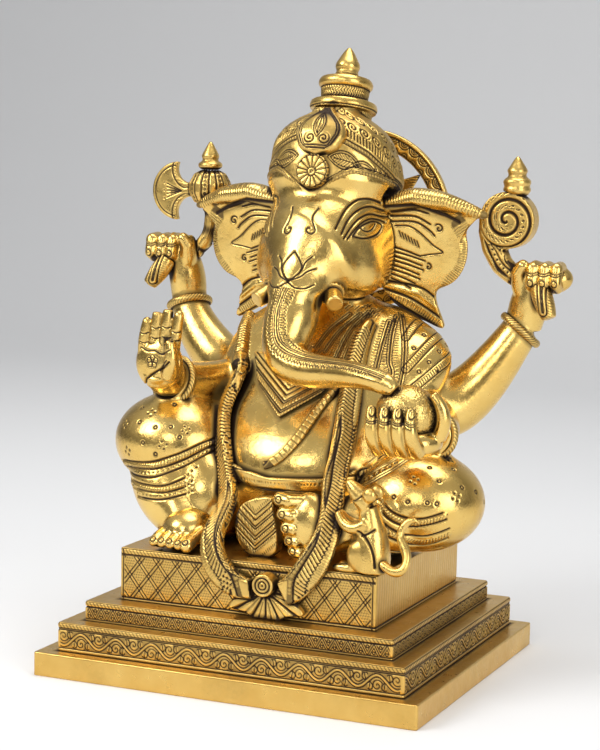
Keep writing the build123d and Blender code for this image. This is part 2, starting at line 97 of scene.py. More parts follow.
class Block:
    """A box of sample points on which fields are added, blended and turned into a mesh."""

    def __init__(self, first, last, voxel):
        self.first, self.last, self.voxel = first, last, voxel
        self.shape = tuple(int(n) for n in last - first)
        self.ijk = tuple(int(n) for n in first)

    @classmethod
    def around(cls, low, high, voxel):
        """The block that holds two corners."""
        return cls(np.floor(low / voxel).astype(int), np.ceil(high / voxel).astype(int) + 1, voxel)

    def near(self, node, reach):
        """The slices and the block within reach of a node's box, or None if it is further away."""
        low, high = BOXES[node]
        whole = Block.around(low - reach, high + reach, self.voxel)
        first, last = np.maximum(whole.first, self.first), np.minimum(whole.last, self.last)
        if np.any(last - first < 2):
            return None
        return tuple(map(slice, first - self.first, last - self.first)), Block(first, last, self.voxel)

    def axes(self):
        """The X, Y and Z of the samples, each shaped to broadcast."""
        x, y, z = (
            (self.first[i] + np.arange(self.shape[i], dtype=np.float32)) * self.voxel for i in range(3)
        )
        return x[:, None, None], y[None, :, None], z[None, None, :]

    def sample(self, node):
        """A CAD node's distance at every sample."""
        values = np.empty(self.shape, np.float32)
        level_set(node, self.voxel).copyToArray(values, ijk=self.ijk)
        return values

    def skin(self, field):
        """Points and quads of the field's zero surface."""
        grid = openvdb.FloatGrid(BAND)
        grid.copyFromArray(np.ascontiguousarray(field), ijk=self.ijk)
        grid.transform = openvdb.createLinearTransform(voxelSize=self.voxel)
        points, quads = grid.convertToQuads(0.0)
        return points.astype(np.float64), quads

    def read(self, field, points):
        """The field read at points with trilinear weights."""
        place = np.clip(points / self.voxel - self.first, 0, np.array(self.shape) - 1.001)
        cell = place.astype(int)
        share = place - cell
        value = np.zeros(len(points))
        for corner in range(8):
            step = np.array([corner & 1, corner >> 1 & 1, corner >> 2 & 1])
            i, j, k = (cell + step).T
            value += np.prod(np.where(step, share, 1 - share), axis=1) * field[i, j, k]
        return value


def smooth_min(a, b, radius):
    """The union of two fields with a fillet of about the radius where they meet."""
    share = np.clip(0.5 + 0.5 * (b - a) / radius, 0, 1)
    return b * (1 - share) + a * share - radius * share * (1 - share)


def kept(field):
    """The field held inside its band, in single precision."""
    return np.clip(field, -BAND, BAND).astype(np.float32)


def soften(field, passes):
    """The field averaged with its neighbours, which rounds edges and flats away."""
    for _ in range(passes):
        for axis in range(3):
            padded = np.concatenate([field.take([0], axis), field, field.take([-1], axis)], axis)
            n = field.shape[axis]
            ahead, behind = [np.take(padded, range(k, k + n), axis) for k in (2, 0)]
            field = 0.5 * field + 0.25 * (ahead + behind)
    return field


def widen(field, reach, voxel, step=4):
    """The field averaged over a wide reach, worked out on a coarse copy."""
    coarse = field[::step, ::step, ::step]
    coarse = soften(coarse, max(1, round(2 * (reach / voxel / step) ** 2)))
    for axis, n in enumerate(field.shape):
        place = np.minimum(np.arange(n) / step, coarse.shape[axis] - 1.001)
        cell = place.astype(int)
        share = (place - cell).astype(np.float32)
        share = share.reshape([-1 if k == axis else 1 for k in range(3)])
        coarse = coarse.take(cell, axis) * (1 - share) + coarse.take(cell + 1, axis) * share
    return coarse


def fill_creases(field, reach, voxel, lift):
    """Fills inner corners with wide fillets and leaves outer shapes where they are."""
    return smooth_min(field, widen(field, reach, voxel) + lift, 1.5)


def fill_voids(field, step=5):
    """Makes hollows that the outside cannot reach solid, so that no skin is drawn inside the metal."""
    coarse = field[::step, ::step, ::step] > -0.5
    reached = np.zeros(coarse.shape, bool)
    for axis in range(3):
        edge = [slice(None)] * 3
        for end in (0, -1):
            edge[axis] = end
            reached[tuple(edge)] = True
    reached &= coarse
    count = 0
    while reached.sum() > count:
        count = reached.sum()
        grown = reached.copy()
        for axis in range(3):
            for shift in (1, -1):
                moved = np.roll(reached, shift, axis)
                edge = [slice(None)] * 3
                edge[axis] = 0 if shift == 1 else -1
                moved[tuple(edge)] = False
                grown |= moved
        reached = grown & coarse
    for axis in range(3):
        reached = reached | np.roll(reached, 1, axis) | np.roll(reached, -1, axis)
    open_air = reached.repeat(step, 0).repeat(step, 1).repeat(step, 2)
    open_air = open_air[: field.shape[0], : field.shape[1], : field.shape[2]]
    return np.where((field > 0) & ~open_air, -1.0, field)


def ellipsoid_field(axes, centre, radii):
    """Near distance from an ellipsoid."""
    parts = [axis - c for axis, c in zip(axes, centre)]
    inner = sum((p / r) ** 2 for p, r in zip(parts, radii)) ** 0.5
    outer = sum((p / r**2) ** 2 for p, r in zip(parts, radii)) ** 0.5
    return inner * (inner - 1) / np.maximum(outer, 1e-6)


def chain_field(axes, stations, radii):
    """Near distance from a chain of straight, tapering limbs."""
    field = None
    for start, end, first, last in zip(stations, stations[1:], radii, radii[1:]):
        step = np.array(end, float) - start
        parts = [axis - c for axis, c in zip(axes, start)]
        share = np.clip(sum(p * s for p, s in zip(parts, step)) / (step @ step), 0, 1)
        gap = sum((p - share * s) ** 2 for p, s in zip(parts, step)) ** 0.5
        limb = gap - (first + (last - first) * share)
        field = limb if field is None else np.minimum(field, limb)
    return field


# Materials -----------------------------------------------------------------------------------------
SHADOW = (0.030, 0.014, 0.005, 1)  # patina in the deepest marks, and the deepest painted shade
DULL = (0.9, 0.83, 0.7, 1)  # how much of its colour the metal keeps where it is less polished


def shade(tree, kind, values, **settings):
    """Adds a shader node; an input is linked when its value is another node's output."""
    node = tree.nodes.new("ShaderNode" + kind)
    for key, value in settings.items():
        setattr(node, key, value)
    for key, value in values.items():
        feed(tree, node.inputs[key], value)
    return node


def feed(tree, socket, value):
    if isinstance(value, bpy.types.NodeSocket):
        tree.links.new(value, socket)
    else:
        socket.default_value = value


def colour_ramp(tree, share, stops):
    """A ramp between two (place, colour) stops."""
    node = shade(tree, "ValToRGB", {"Fac": share})
    for element, (place, colour) in zip(node.color_ramp.elements, stops):
        element.position, element.color = place, colour
    return node.outputs["Color"]


def brass(name, bright, roughness, stain_size, stain):
    """Polished metal, dark where its patina was not rubbed off and where shade is painted into its point
    attribute, with fine scratches and blotches.
    """
    material = bpy.data.materials.new(name)
    material.use_nodes = True
    tree = material.node_tree
    place = shade(tree, "TexCoord", {}).outputs["Object"]
    patina = shade(tree, "Attribute", {}, attribute_name="patina").outputs["Fac"]

    def noise(scale, detail, rough=0.6, vector=place):
        values = {"Vector": vector, "Scale": scale, "Detail": detail, "Roughness": rough}
        return shade(tree, "TexNoise", values).outputs["Fac"]

    def remap(value, a, b, low, high):
        values = {"Value": value, "From Min": a, "From Max": b, "To Min": low, "To Max": high}
        return shade(tree, "MapRange", values).outputs["Result"]

    def math(operation, a, b):
        return shade(tree, "Math", {0: a, 1: b}, operation=operation).outputs[0]

    def mix(share, a, b):
        return shade(tree, "Mix", {"Factor": share, 6: a, 7: b}, data_type="RGBA").outputs[2]

    blotches = remap(noise(stain_size, 4), 0.42, 0.72, 0, stain)
    blotches = math("MULTIPLY", blotches, remap(noise(700, 3), 0.3, 0.7, 0.6, 1.2))
    dark = remap(math("ADD", patina, blotches), 0.03, 0.75, 0, 1)
    tone = mix(remap(noise(55, 3), 0.3, 0.7, 0, 1), bright, tuple(c * k for c, k in zip(bright, DULL)))
    smooth = remap(noise(180, 4), 0.3, 0.7, roughness - 0.05, roughness + 0.09)
    stretch = {"Vector": place, "Scale": (1, 0.06, 0.9), "Rotation": (0.3, 0.5, 0.7)}
    scratches = noise(260, 2, 0.5, shade(tree, "Mapping", stretch).outputs["Vector"])
    grain = math("ADD", math("MULTIPLY", scratches, 0.5), noise(420, 3))
    bump = shade(tree, "Bump", {"Strength": 0.35, "Distance": 0.00035, "Height": grain})
    shader = tree.nodes["Principled BSDF"].inputs
    for key, value in (
        ("Base Color", mix(dark, tone, SHADOW)),
        ("Metallic", remap(dark, 0.2, 1.0, 1.0, 0.55)),
        ("Roughness", math("ADD", smooth, math("MULTIPLY", dark, 0.3))),
        ("Normal", bump.outputs["Normal"]),
    ):
        feed(tree, shader[key], value)
    return material


METALS = {
    BRASS: brass(BRASS, (0.86, 0.60, 0.19, 1), 0.22, 26, 0.08),
    CHASED: brass(CHASED, (0.84, 0.58, 0.18, 1), 0.27, 32, 0.12),
    PLINTH: brass(PLINTH, (0.80, 0.53, 0.155, 1), 0.30, 20, 0.16),
    STEEL: brass(STEEL, (0.55, 0.56, 0.58, 1), 0.35, 40, 0.2),
}


# Relief --------------------------------------------------------------------------------------------
def ease(value):
    """A soft step of a value from 0 to 1."""
    value = np.clip(value, 0, 1)
    return value * value * (3 - 2 * value)


def wave(value, pitch):
    """Distance from the nearest multiple of the pitch."""
    return np.abs((value / pitch + 0.5) % 1 - 0.5) * pitch


def within(value, low, high, edge=0.4):
    """1 between two limits, falling to 0 over the edge outside them."""
    return ease((value - low) / edge + 1) * ease((high - value) / edge + 1)


def dome(distance, radius):
    """The height of a unit dome at a distance from its middle."""
    return np.sqrt(np.clip(1 - (distance / radius) ** 2, 0, 1))


def curve(stations, steps=6):
    """A smooth line through 3-D stations."""
    p = np.array(stations, float)
    p = np.vstack([2 * p[0] - p[1], p, 2 * p[-1] - p[-2]])
    t = np.linspace(0, 1, steps, endpoint=False)[:, None]
    rows = []
    for a, b, c, d in zip(p, p[1:], p[2:], p[3:]):
        bend, twist = 2 * a - 5 * b + 4 * c - d, 3 * b - a - 3 * c + d
        rows.append(0.5 * (2 * b + (c - a) * t + bend * t**2 + twist * t**3))
    return np.vstack(rows + [p[-2:-1]])


def track(points, normals, stations, reach):
    """Each point's distance from a 3-D line, its run along the line and its signed offset to one side."""
    line = curve(stations)
    close = np.all((points > line.min(0) - reach) & (points < line.max(0) + reach), axis=1)
    close = np.flatnonzero(close)
    here, facing = points[close], normals[close]
    best, s, offset = np.full(len(close), FAR), np.zeros(len(close)), np.full(len(close), FAR)
    start = 0.0
    for a, b in zip(line, line[1:]):
        step = b - a
        size = np.linalg.norm(step)
        if size < 1e-6:
            continue
        share = np.clip((here - a) @ step / size**2, 0, 1)
        gap = here - a - share[:, None] * step
        above = np.einsum("ij,ij->i", gap, facing)
        distance = np.sqrt(np.maximum(np.einsum("ij,ij->i", gap, gap) - above**2, 0))
        distance += 9 * (np.abs(above) > 5)  # keeps marks off a skin that only passes behind the line
        nearer = distance < best
        best[nearer], s[nearer] = distance[nearer], start + share[nearer] * size
        across = np.cross(step / size, facing[nearer])
        offset[nearer] = np.einsum("ij,ij->i", gap[nearer], across)
        start += size
    away, run, side = np.full(len(points), FAR), np.zeros(len(points)), np.full(len(points), FAR)
    away[close], run[close], side[close] = best, s, offset
    return away, run, side


def spiral(across, up, radius, turns):
    """Flat stations of a spiral that opens from its centre."""
    rows = []
    for share in np.linspace(0.12, 1, 16):
        angle = 0.5 + 2 * pi * turns * share
        rows.append((across + radius * share * cos(angle), up + radius * share * sin(angle)))
    return rows


def spiral_field(u, v, radius, pitch, first):
    """Distance from a flat spiral groove in (u, v), and a mask of its disc."""
    r, angle = np.hypot(u, v), np.arctan2(v, u) + first
    return np.abs((r / pitch - angle / (2 * pi)) % 1 - 0.5) * pitch, ease((radius - r) / 0.5 + 1)


def closest(points, spots):
    """Distance of each point from the nearest of some spots."""
    away = np.full(len(points), FAR)
    for place in spots:
        away = np.minimum(away, np.linalg.norm(points - np.array(place, float), axis=1))
    return away


class Relief:
    """Marks pressed into a node's skin: their depth in millimetres and how dark their patina is, with painted
    shade under an ear's upper roll.
    """

    def __init__(self, node, points, normals):
        self.node, self.points, self.normals = node, points, normals
        self.x, self.y, self.z = points.T
        self.low, self.high = BOXES[node]
        self.middle = (self.low + self.high) / 2
        self.depth, self.stain = np.zeros(len(points)), np.zeros(len(points))

    # Where on the skin
    def faces(self, least, both=False, edge=0.3):
        """1 where the skin faces the front, or the front and the back, by more than the least share."""
        out = -self.normals[:, 1]
        return ease(((np.abs(out) if both else out) - least) / edge)

    def disc(self, centre):
        """Distance and angle about a centre, as seen from the front."""
        u, v = self.x - centre[0], self.z - centre[2]
        return np.hypot(u, v), np.arctan2(v, u)

    def flatten(self, fold=False):
        """Drops the points onto the XZ plane for lines given as (x, z), with both sides folded onto one."""
        self.flat = self.points * (1, 0, 1)
        if fold:
            self.flat[:, 0] = np.abs(self.flat[:, 0])

    def follow(self, stations, reach):
        """track() for this skin, or for its flattened copy when the stations are (x, z)."""
        if len(stations[0]) == 2:
            return track(self.flat, self.normals, [(x, 0, z) for x, z in stations], reach)
        return track(self.points, self.normals, stations, reach)

    # Marks
    def press(self, share, depth, stain=0.8):
        """Lowers the skin by a share of the depth and darkens it as much."""
        self.depth += depth * share
        self.stain = np.maximum(self.stain, stain * share)

    def raise_(self, share, height):
        """Lifts the skin, which polishes it bright."""
        self.depth -= height * share
        self.stain = self.stain * (1 - 0.7 * np.clip(share, 0, 1))

    def line(self, distance, width=0.6, depth=0.5, where=1.0, stain=0.9):
        """A groove along the points at no distance."""
        self.press(ease(1 - np.abs(distance) / (width * 1.15)) * where, depth * 1.25, stain * 1.1)

    def lines(self, value, levels, width=0.6, depth=0.5, where=1.0):
        """A groove wherever the value passes a level."""
        for level in levels:
            self.line(value - level, width, depth, where)

    def trace(self, stations, width=0.55, depth=0.45, stain=0.9, where=1.0, reach=2.5):
        """A groove along a line drawn near the skin."""
        self.line(self.follow(stations, reach)[0], width, depth, where, stain)

    def hatch(self, along, where, pitch=1.5, width=0.5, depth=0.35, stain=0.75):
        """Parallel nicks across a band."""
        self.press(ease(1 - wave(along, pitch) / width) * where, depth, stain)

    def dots(self, u, v, pitch, radius=0.55, depth=0.35, where=1.0):
        """A grid of punch marks."""
        self.press(ease(1 - np.hypot(wave(u, pitch), wave(v, pitch)) / radius) * where, depth, 0.8)

    def beads(self, along, across, pitch, radius, height, where=1.0):
        """A row of small domes in a dark channel."""
        away = np.hypot(wave(along + pitch / 2, pitch), across)
        inside = within(across, -radius * 1.25, radius * 1.25, 0.3) * where
        self.press(inside, height * 0.5, 0.55)
        self.raise_(dome(away, radius) * inside, height)

    def rope(self, along, across, half, pitch, depth, where=1.0):
        """A twisted cord: a round ridge cut by slanting nicks."""
        inside = within(across, -half, half, 0.2) * where
        self.raise_(dome(across, half) * inside, depth)
        self.press(ease(1 - wave(along + across * 0.8, pitch) / (pitch * 0.3)) * inside, depth, 0.6)
        self.line(np.abs(across) - half - 0.3, 0.55, 0.35, where, 0.8)


# Meshes --------------------------------------------------------------------------------------------
FILLET = 2.2
CREVICE_REACH = 3.5  # how far from a skin its neighbours paint shade onto it, over the patina of its hollows
MARGIN = 5.0


def vertex_normals(points, quads):
    """Area-weighted unit normals at the points of a quad mesh."""
    a, b, c, d = (points[quads[:, i]] for i in range(4))
    face = np.cross(c - a, d - b)
    normals = np.zeros_like(points)
    for i in range(4):
        for axis in range(3):
            normals[:, axis] += np.bincount(quads[:, i], face[:, axis], len(points))
    return normals / np.maximum(np.linalg.norm(normals, axis=1, keepdims=True), 1e-9)


def link_mesh(prefix, node, points, groups, dark, slot):
    """Makes the smooth-shaded piece of a node, carrying its patina and painted shade as a point attribute."""
    corners = np.concatenate([group.ravel() for group in groups])
    sizes = np.concatenate([np.full(len(group), group.shape[1]) for group in groups])
    mesh = bpy.data.meshes.new(prefix + node)
    mesh.vertices.add(len(points))
    mesh.vertices.foreach_set("co", (points * MM).astype(np.float32).ravel())
    mesh.loops.add(len(corners))
    mesh.loops.foreach_set("vertex_index", corners.astype(np.int32))
    mesh.polygons.add(len(sizes))
    mesh.polygons.foreach_set("loop_start", (np.cumsum(sizes) - sizes).astype(np.int32))
    mesh.update(calc_edges=True)
    mesh.shade_smooth()
    attribute = mesh.attributes.new("patina", "FLOAT", "POINT")
    attribute.data.foreach_set("value", np.clip(dark, 0, 1).astype(np.float32))
    mesh.materials.append(METALS[slot])
    piece = bpy.data.objects.new(prefix + node, mesh)
    bpy.context.scene.collection.objects.link(piece)
    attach(piece, "root")
    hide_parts(node)


def cast(node, voxel, passes, slot):
    """Turns a CAD node into its softened, filleted and chased piece, with painted shade where its neighbours
    close in.
    """
    low, high = BOXES[node]
    block = Block.around(low - MARGIN, high + MARGIN, voxel)
    own = block.sample(node)
    solid, air = own.copy(), own.copy()
    others = np.full(block.shape, BAND, np.float32)
    for name in sorted(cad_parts):
        found = block.near(name, BAND) if name != node else None
        if found is None:
            continue
        part, inner = found
        distance = inner.sample(name)
        air[part] = np.minimum(air[part], distance)
        if node in BODY and name in BODY:
            solid[part] = smooth_min(solid[part], distance, FILLET)
            others[part] = np.minimum(others[part], distance)
    if node in SHAPERS:
        shape, *values = SHAPERS[node]
        solid = shape(block, solid, *values)
    solid = fill_voids(soften(solid, passes))
    if node in BODY:  # cut back half-way to its neighbours
        beyond = 0.5 * (own - others)
        beyond = np.where(own > BAND - 0.1, BAND, beyond)
        beyond = np.where(others > BAND - 0.1, -BAND, beyond)
        solid = np.maximum(solid + 0.4 * np.clip(beyond, 0, None), beyond - 0.8)
    points, quads = block.skin(solid)
    normals = vertex_normals(points, quads)
    # Painted shade: the skin darkens where neighbouring pieces close in, as ambient occlusion would shade it,
    # on top of the patina kept in such hollows.
    open_air = block.read(air, points + normals * CREVICE_REACH)
    dark = np.clip(1.25 * (1 - open_air / CREVICE_REACH) - 0.2, 0, 1) * 0.8
    if node in RELIEFS:
        marks = Relief(node, points, normals)
        chase, *values = RELIEFS[node]
        chase(marks, *values)
        points = points - normals * marks.depth[:, None]
        dark = dark + marks.stain
    link_mesh("cast_", node, points, [quads], dark, slot)


# Plinth --------------------------------------------------------------------------------------------
def tier(node, chase, spacing=0.42, corner=1.4, edge=0.5):
    """A plinth tier as a closed block with a dense, chased rim."""
    low, high = BOXES[node]
    middle, half = (low + high) / 2, (high - low) / 2
    across, along = half[0] - corner, half[1] - corner
    ring = []  # x, y and outward direction of each point round the outline, starting at the front
    for cx, cy, turn in ((1, -1, -90), (1, 1, 0), (-1, 1, 90), (-1, -1, 180)):
        for a in np.linspace(0, 90, 6):
            angle = radians(turn + a)
            ring.append((cx * across, cy * along, cos(angle), sin(angle)))
    outline = []
    for (x0, y0, u0, v0), (x1, y1, u1, v1) in zip(ring, ring[1:] + ring[:1]):
        reach = hypot(x1 + corner * u1 - x0 - corner * u0, y1 + corner * v1 - y0 - corner * v0)
        count = max(1, round(reach / spacing))
        for t in (k / count for k in range(count)):
            outline.append((x0 + (x1 - x0) * t, y0 + (y1 - y0) * t, u0 + (u1 - u0) * t, v0 + (v1 - v0) * t))
    outline = np.array(outline)
    outline[:, 2:] /= np.hypot(outline[:, 2], outline[:, 3])[:, None]
    tall, inner = high[2] - low[2], min(half[:2]) * 0.75
    quarter = np.linspace(0, pi / 2, 4)
    rows = [(inner, tall), (14, tall), (11, tall)]  # inset and height of each ring of points, top to foot
    rows += [(inset, tall) for inset in np.arange(10, edge, -0.5)]
    rows += [(edge * (1 - sin(a)), tall - edge * (1 - cos(a))) for a in quarter]
    rows += [(0, z) for z in np.linspace(tall - edge, edge, int(tall / spacing))[1:]]
    rows += [(edge * (1 - cos(a)), edge * (1 - sin(a))) for a in quarter[1:]]
    rows += [(12, 0), (inner, 0)]
    inset, height = np.array(rows).T[:, :, None]
    shrink = np.clip(inset - corner, 0, None)
    bend = corner - np.clip(inset, None, corner)
    x = np.clip(outline[:, 0], -across + shrink, across - shrink) + bend * outline[:, 2]
    y = np.clip(outline[:, 1], -along + shrink, along - shrink) + bend * outline[:, 3]
    points = np.stack([x + middle[0], y + middle[1], height + low[2] + 0 * x], -1).reshape(-1, 3)
    n_rows, n_ring = x.shape
    i, j = np.arange(n_rows - 1)[:, None] * n_ring, np.arange(n_ring)
    after = (j + 1) % n_ring
    quads = np.stack([i + j, i + n_ring + j, i + n_ring + after, i + after], -1).reshape(-1, 4)
    top, bottom, last = len(points), len(points) + 1, (n_rows - 1) * n_ring
    points = np.vstack([points, [middle[0], middle[1], high[2]], [middle[0], middle[1], low[2]]])
    caps = [np.stack([top + 0 * j, j, after], -1), np.stack([bottom + 0 * j, last + after, last + j], -1)]
    normals = vertex_normals(points, quads)
    normals[top], normals[bottom] = (0, 0, 1), (0, 0, -1)
    marks = Relief(node, points, normals)
    marks.front = np.abs(normals[:, 1]) > np.abs(normals[:, 0])
    marks.wall = ease((1 - np.abs(normals[:, 2])) / 0.3)
    marks.run = np.where(marks.front, marks.x - middle[0], marks.y - middle[1])
    marks.short = np.where(marks.front, half[0], half[1]) - np.abs(marks.run)  # left before the corner
    chase(marks, marks.run, marks.z - low[2], tall)
    points = points - normals * np.clip(marks.depth, -0.05, 2)[:, None]
    link_mesh("tier_", node, points, [quads] + caps, marks.stain + foot_shadow(points, normals, node), PLINTH)


def foot_shadow(points, normals, node):
    """Darkens the ledge of a tier where the next piece stands on it."""
    if node == TIERS[-1]:
        return 0.0
    low, high = BOXES[TIERS[TIERS.index(node) + 1]]
    gap = np.maximum(*(np.abs(points[:, i] - (low + high)[i] / 2) - (high - low)[i] / 2 for i in (0, 1)))
    return 0.75 * ease(1 - np.clip(gap, 0, None) / 2.6) * (normals[:, 2] > 0.5)


def chase_slab(marks, run, height, tall):
    """A filed slab, its top edge worn."""
    marks.press(ease(1 - np.abs(height - tall + 0.2) / 0.5) * marks.wall, 0.05, 0.12)


def chase_vine(marks, run, height, tall):
    """A running vine whose bends each hold a curled leaf, under a nicked cord."""
    low, high = 1.7, tall - 3.4
    middle, swing, length = (low + high) / 2, (high - low) * 0.34, 19.0
    marks.rope(run, height - tall + 1.35, 0.95, 1.9, 0.22, marks.wall)
    marks.lines(height, (low, high), 0.5, 0.4, marks.wall)
    inner = within(height, low + 0.5, high - 0.5, 0.3) * marks.wall * ease((marks.short - 1.5) / 0.5)
    turn = 2 * pi * run / length
    steep = np.hypot(1, 2 * pi * swing / length * np.sin(turn))
    away = np.abs(height - middle - swing * np.cos(turn)) / steep
    marks.press(inner * ease((away - 0.5) / 0.6) * 0.9, 0.18, 0.38)
    marks.line(away - 0.75, 0.45, 0.35, inner)
    bay = np.floor(run / length * 2 + 0.5)
    u = run - bay * length / 2
    v = (height - middle) * np.where(bay % 2 == 0, -1.0, 1.0)
    curl, disc = spiral_field(u, v - 1.6, 2.9, 1.75, 0.8)
    marks.raise_(disc * inner, 0.2)
    marks.line(curl, 0.42, 0.4, disc * inner)
    for side in (-3.6, 3.6):
        leaf_u, leaf_v = u - side, v - 2.2
        leaf = (leaf_u / 1.5) ** 2 + (leaf_v / 1.7) ** 2
        marks.raise_(ease(1.4 - leaf) * inner * 0.8, 0.15)
        marks.line((np.sqrt(leaf) - 1) * 1.5, 0.4, 0.35, inner)
        marks.line(leaf_u + 0.2 * leaf_v, 0.35, 0.3, inner * (leaf < 0.8))


def chase_zigzag(marks, run, height, tall):
    """A zigzag of double lines with a small ring in every bay, under a nicked cord."""
    low, high, pitch = 1.0, tall - 2.9, 6.4
    reach = (high - low) / 2
    marks.rope(run, height - tall + 1.35, 0.95, 1.9, 0.22, marks.wall)
    marks.lines(height, (low, high), 0.45, 0.35, marks.wall)
    inner = within(height, low + 0.2, high - 0.2, 0.3) * marks.wall * ease((marks.short - 1.2) / 0.5)
    zig = height - (low + high) / 2 - reach * (1 - 4 * wave(run, pitch) / pitch)
    zig = zig / hypot(1, 4 * reach / pitch)
    marks.line(zig, 0.42, 0.35, inner)
    marks.line(np.abs(zig) - 0.95, 0.35, 0.25, inner)
    for shift, level in ((0, low + 1.35), (0.5, high - 1.35)):
        away = np.hypot(wave(run + shift * pitch, pitch), height - level)
        marks.line(away - 0.65, 0.4, 0.3, inner)


def chase_lattice(marks, run, height, tall):
    """The seat: a diamond lattice with punched ground on the front and back, plain filed ends."""
    face, pitch, lean = marks.wall * marks.front, 10.2, 1.25
    marks.rope(run, height - tall + 1.7, 1.1, 1.9, 0.25, face)
    marks.line(height - tall + 3.6, 0.45, 0.4, face)
    marks.line(height - 1.2, 0.6, 0.5, marks.wall, 1.0)
    marks.line(marks.short - 1.8, 0.45, 0.35, face)
    inner = within(height, 1.6, tall - 4.2, 0.3) * face * ease((marks.short - 2.2) / 0.5)
    ground = inner
    for rise in (-1 / lean, 1 / lean):
        across = wave(run + rise * (height - tall / 2), pitch) / hypot(1, rise)
        marks.line(across - 0.75, 0.42, 0.4, inner)
        ground = ground * ease((across - 1.3) / 0.3)
    marks.dots(run + 0.9 * np.floor(height / 1.3), height, 1.3, 0.6, 0.25, ground)
    ends = marks.wall * (1 - marks.front)
    marks.press(ease(0.5 + 0.5 * np.sin(run * 2.1 + np.sin(height * 0.25))) * ends, 0.07, 0.10)


# Crown ---------------------------------------------------------------------------------------------
CROWN_LEAN = radians(12)
CROWN_AXIS = np.array([0.0, sin(CROWN_LEAN), cos(CROWN_LEAN)])
CROWN_FRONT = np.array([0.0, -cos(CROWN_LEAN), sin(CROWN_LEAN)])
CROWN_TIP = BOXES["crown_finial"][0] + np.ptp(BOXES["crown_finial"], axis=0) * (0.5, 0.52, 1)
CROWN_FOOT = CROWN_TIP - 75.3 * CROWN_AXIS
BROW_TURNS = [0, 10, 20, 30, 40, 60, 90, 110, 180]
BROW_LEVELS = [-9.5, -5.4, -1.0, 3.0, 5.0, 4.6, 2.6, 0.5, -4.2]
BROW_RADIUS = 33.0
PER_DEGREE = radians(BROW_RADIUS)  # run along the brow band
LEAF_HEART = np.array([2.5, 18.0, 262.0])
LEAF_UP = np.array([0.0, 0.51, 0.86])
LEAF_LEVELS = [-13.5, -11.5, -8.5, -3, 0, 3, 7, 11, 15, 19]
LEAF_HALVES = [0, 6.5, 10.2, 12.7, 12.9, 11.9, 8.8, 5.2, 2.4, 0]


def crown_place(points):
    """Height above the crown's foot, run round it from the front in degrees, and distance from its axis."""
    away = points - CROWN_FOOT
    height = away @ CROWN_AXIS
    out = away - height[:, None] * CROWN_AXIS
    turn = np.degrees(np.arctan2(out[:, 0], out @ CROWN_FRONT))
    return height, turn, np.linalg.norm(out, axis=1)


def crown_axes(block):
    """Across, front and height of a block's samples in the crown's own frame."""
    x, y, z = (axis - foot for axis, foot in zip(block.axes(), CROWN_FOOT))
    front, height = (y * line[1] + z * line[2] + 0 * x for line in (CROWN_FRONT, CROWN_AXIS))
    return x, front, height


def brow_lift(block):
    """Height of a block's samples in the crown's frame, and above its brow line."""
    across, front, height = crown_axes(block)
    turn = np.degrees(np.arctan2(np.abs(across), front))
    return height, height - np.interp(turn, BROW_TURNS, BROW_LEVELS).astype(np.float32)


def crown_bulge(block):
    """The dome's full shape, carried forward and up over the drum's foot."""
    return ellipsoid_field(crown_axes(block), (0, 3.0, 18.5), (32.0, 27.2, 22.0))


def shape_crown_cap(block, solid):
    """Swells the dome round its boss and trims it along the brow line."""
    whole = smooth_min(solid, crown_bulge(block), 2.0)
    whole = np.minimum(whole, block.sample("crown_boss") + 1.6)
    whole = np.minimum(whole, block.sample("crown_lower_drum") + 1.0)
    filled = fill_creases(kept(whole), 5.0, block.voxel, 0.5)
    height, lift = brow_lift(block)
    return np.maximum(np.maximum(filled, np.minimum(height - 42.0, 3.0)), lift * -0.8)


def shape_crown_leaf(block, solid):
    """A drop that lies on the dome, pillowed towards its edge."""
    x, y, z = (axis - heart for axis, heart in zip(block.axes(), LEAF_HEART))
    up = y * LEAF_UP[1] + z * LEAF_UP[2] + 0 * x
    edge = (np.abs(x) - np.interp(up, LEAF_LEVELS, LEAF_HALVES)) * 0.8
    edge = np.maximum(edge, np.maximum(up - 19, -13.5 - up))
    over = smooth_min(block.sample("crown_cap"), crown_bulge(block), 2.0)
    return kept(-smooth_min(-edge, 3.9 - over, 3.0))


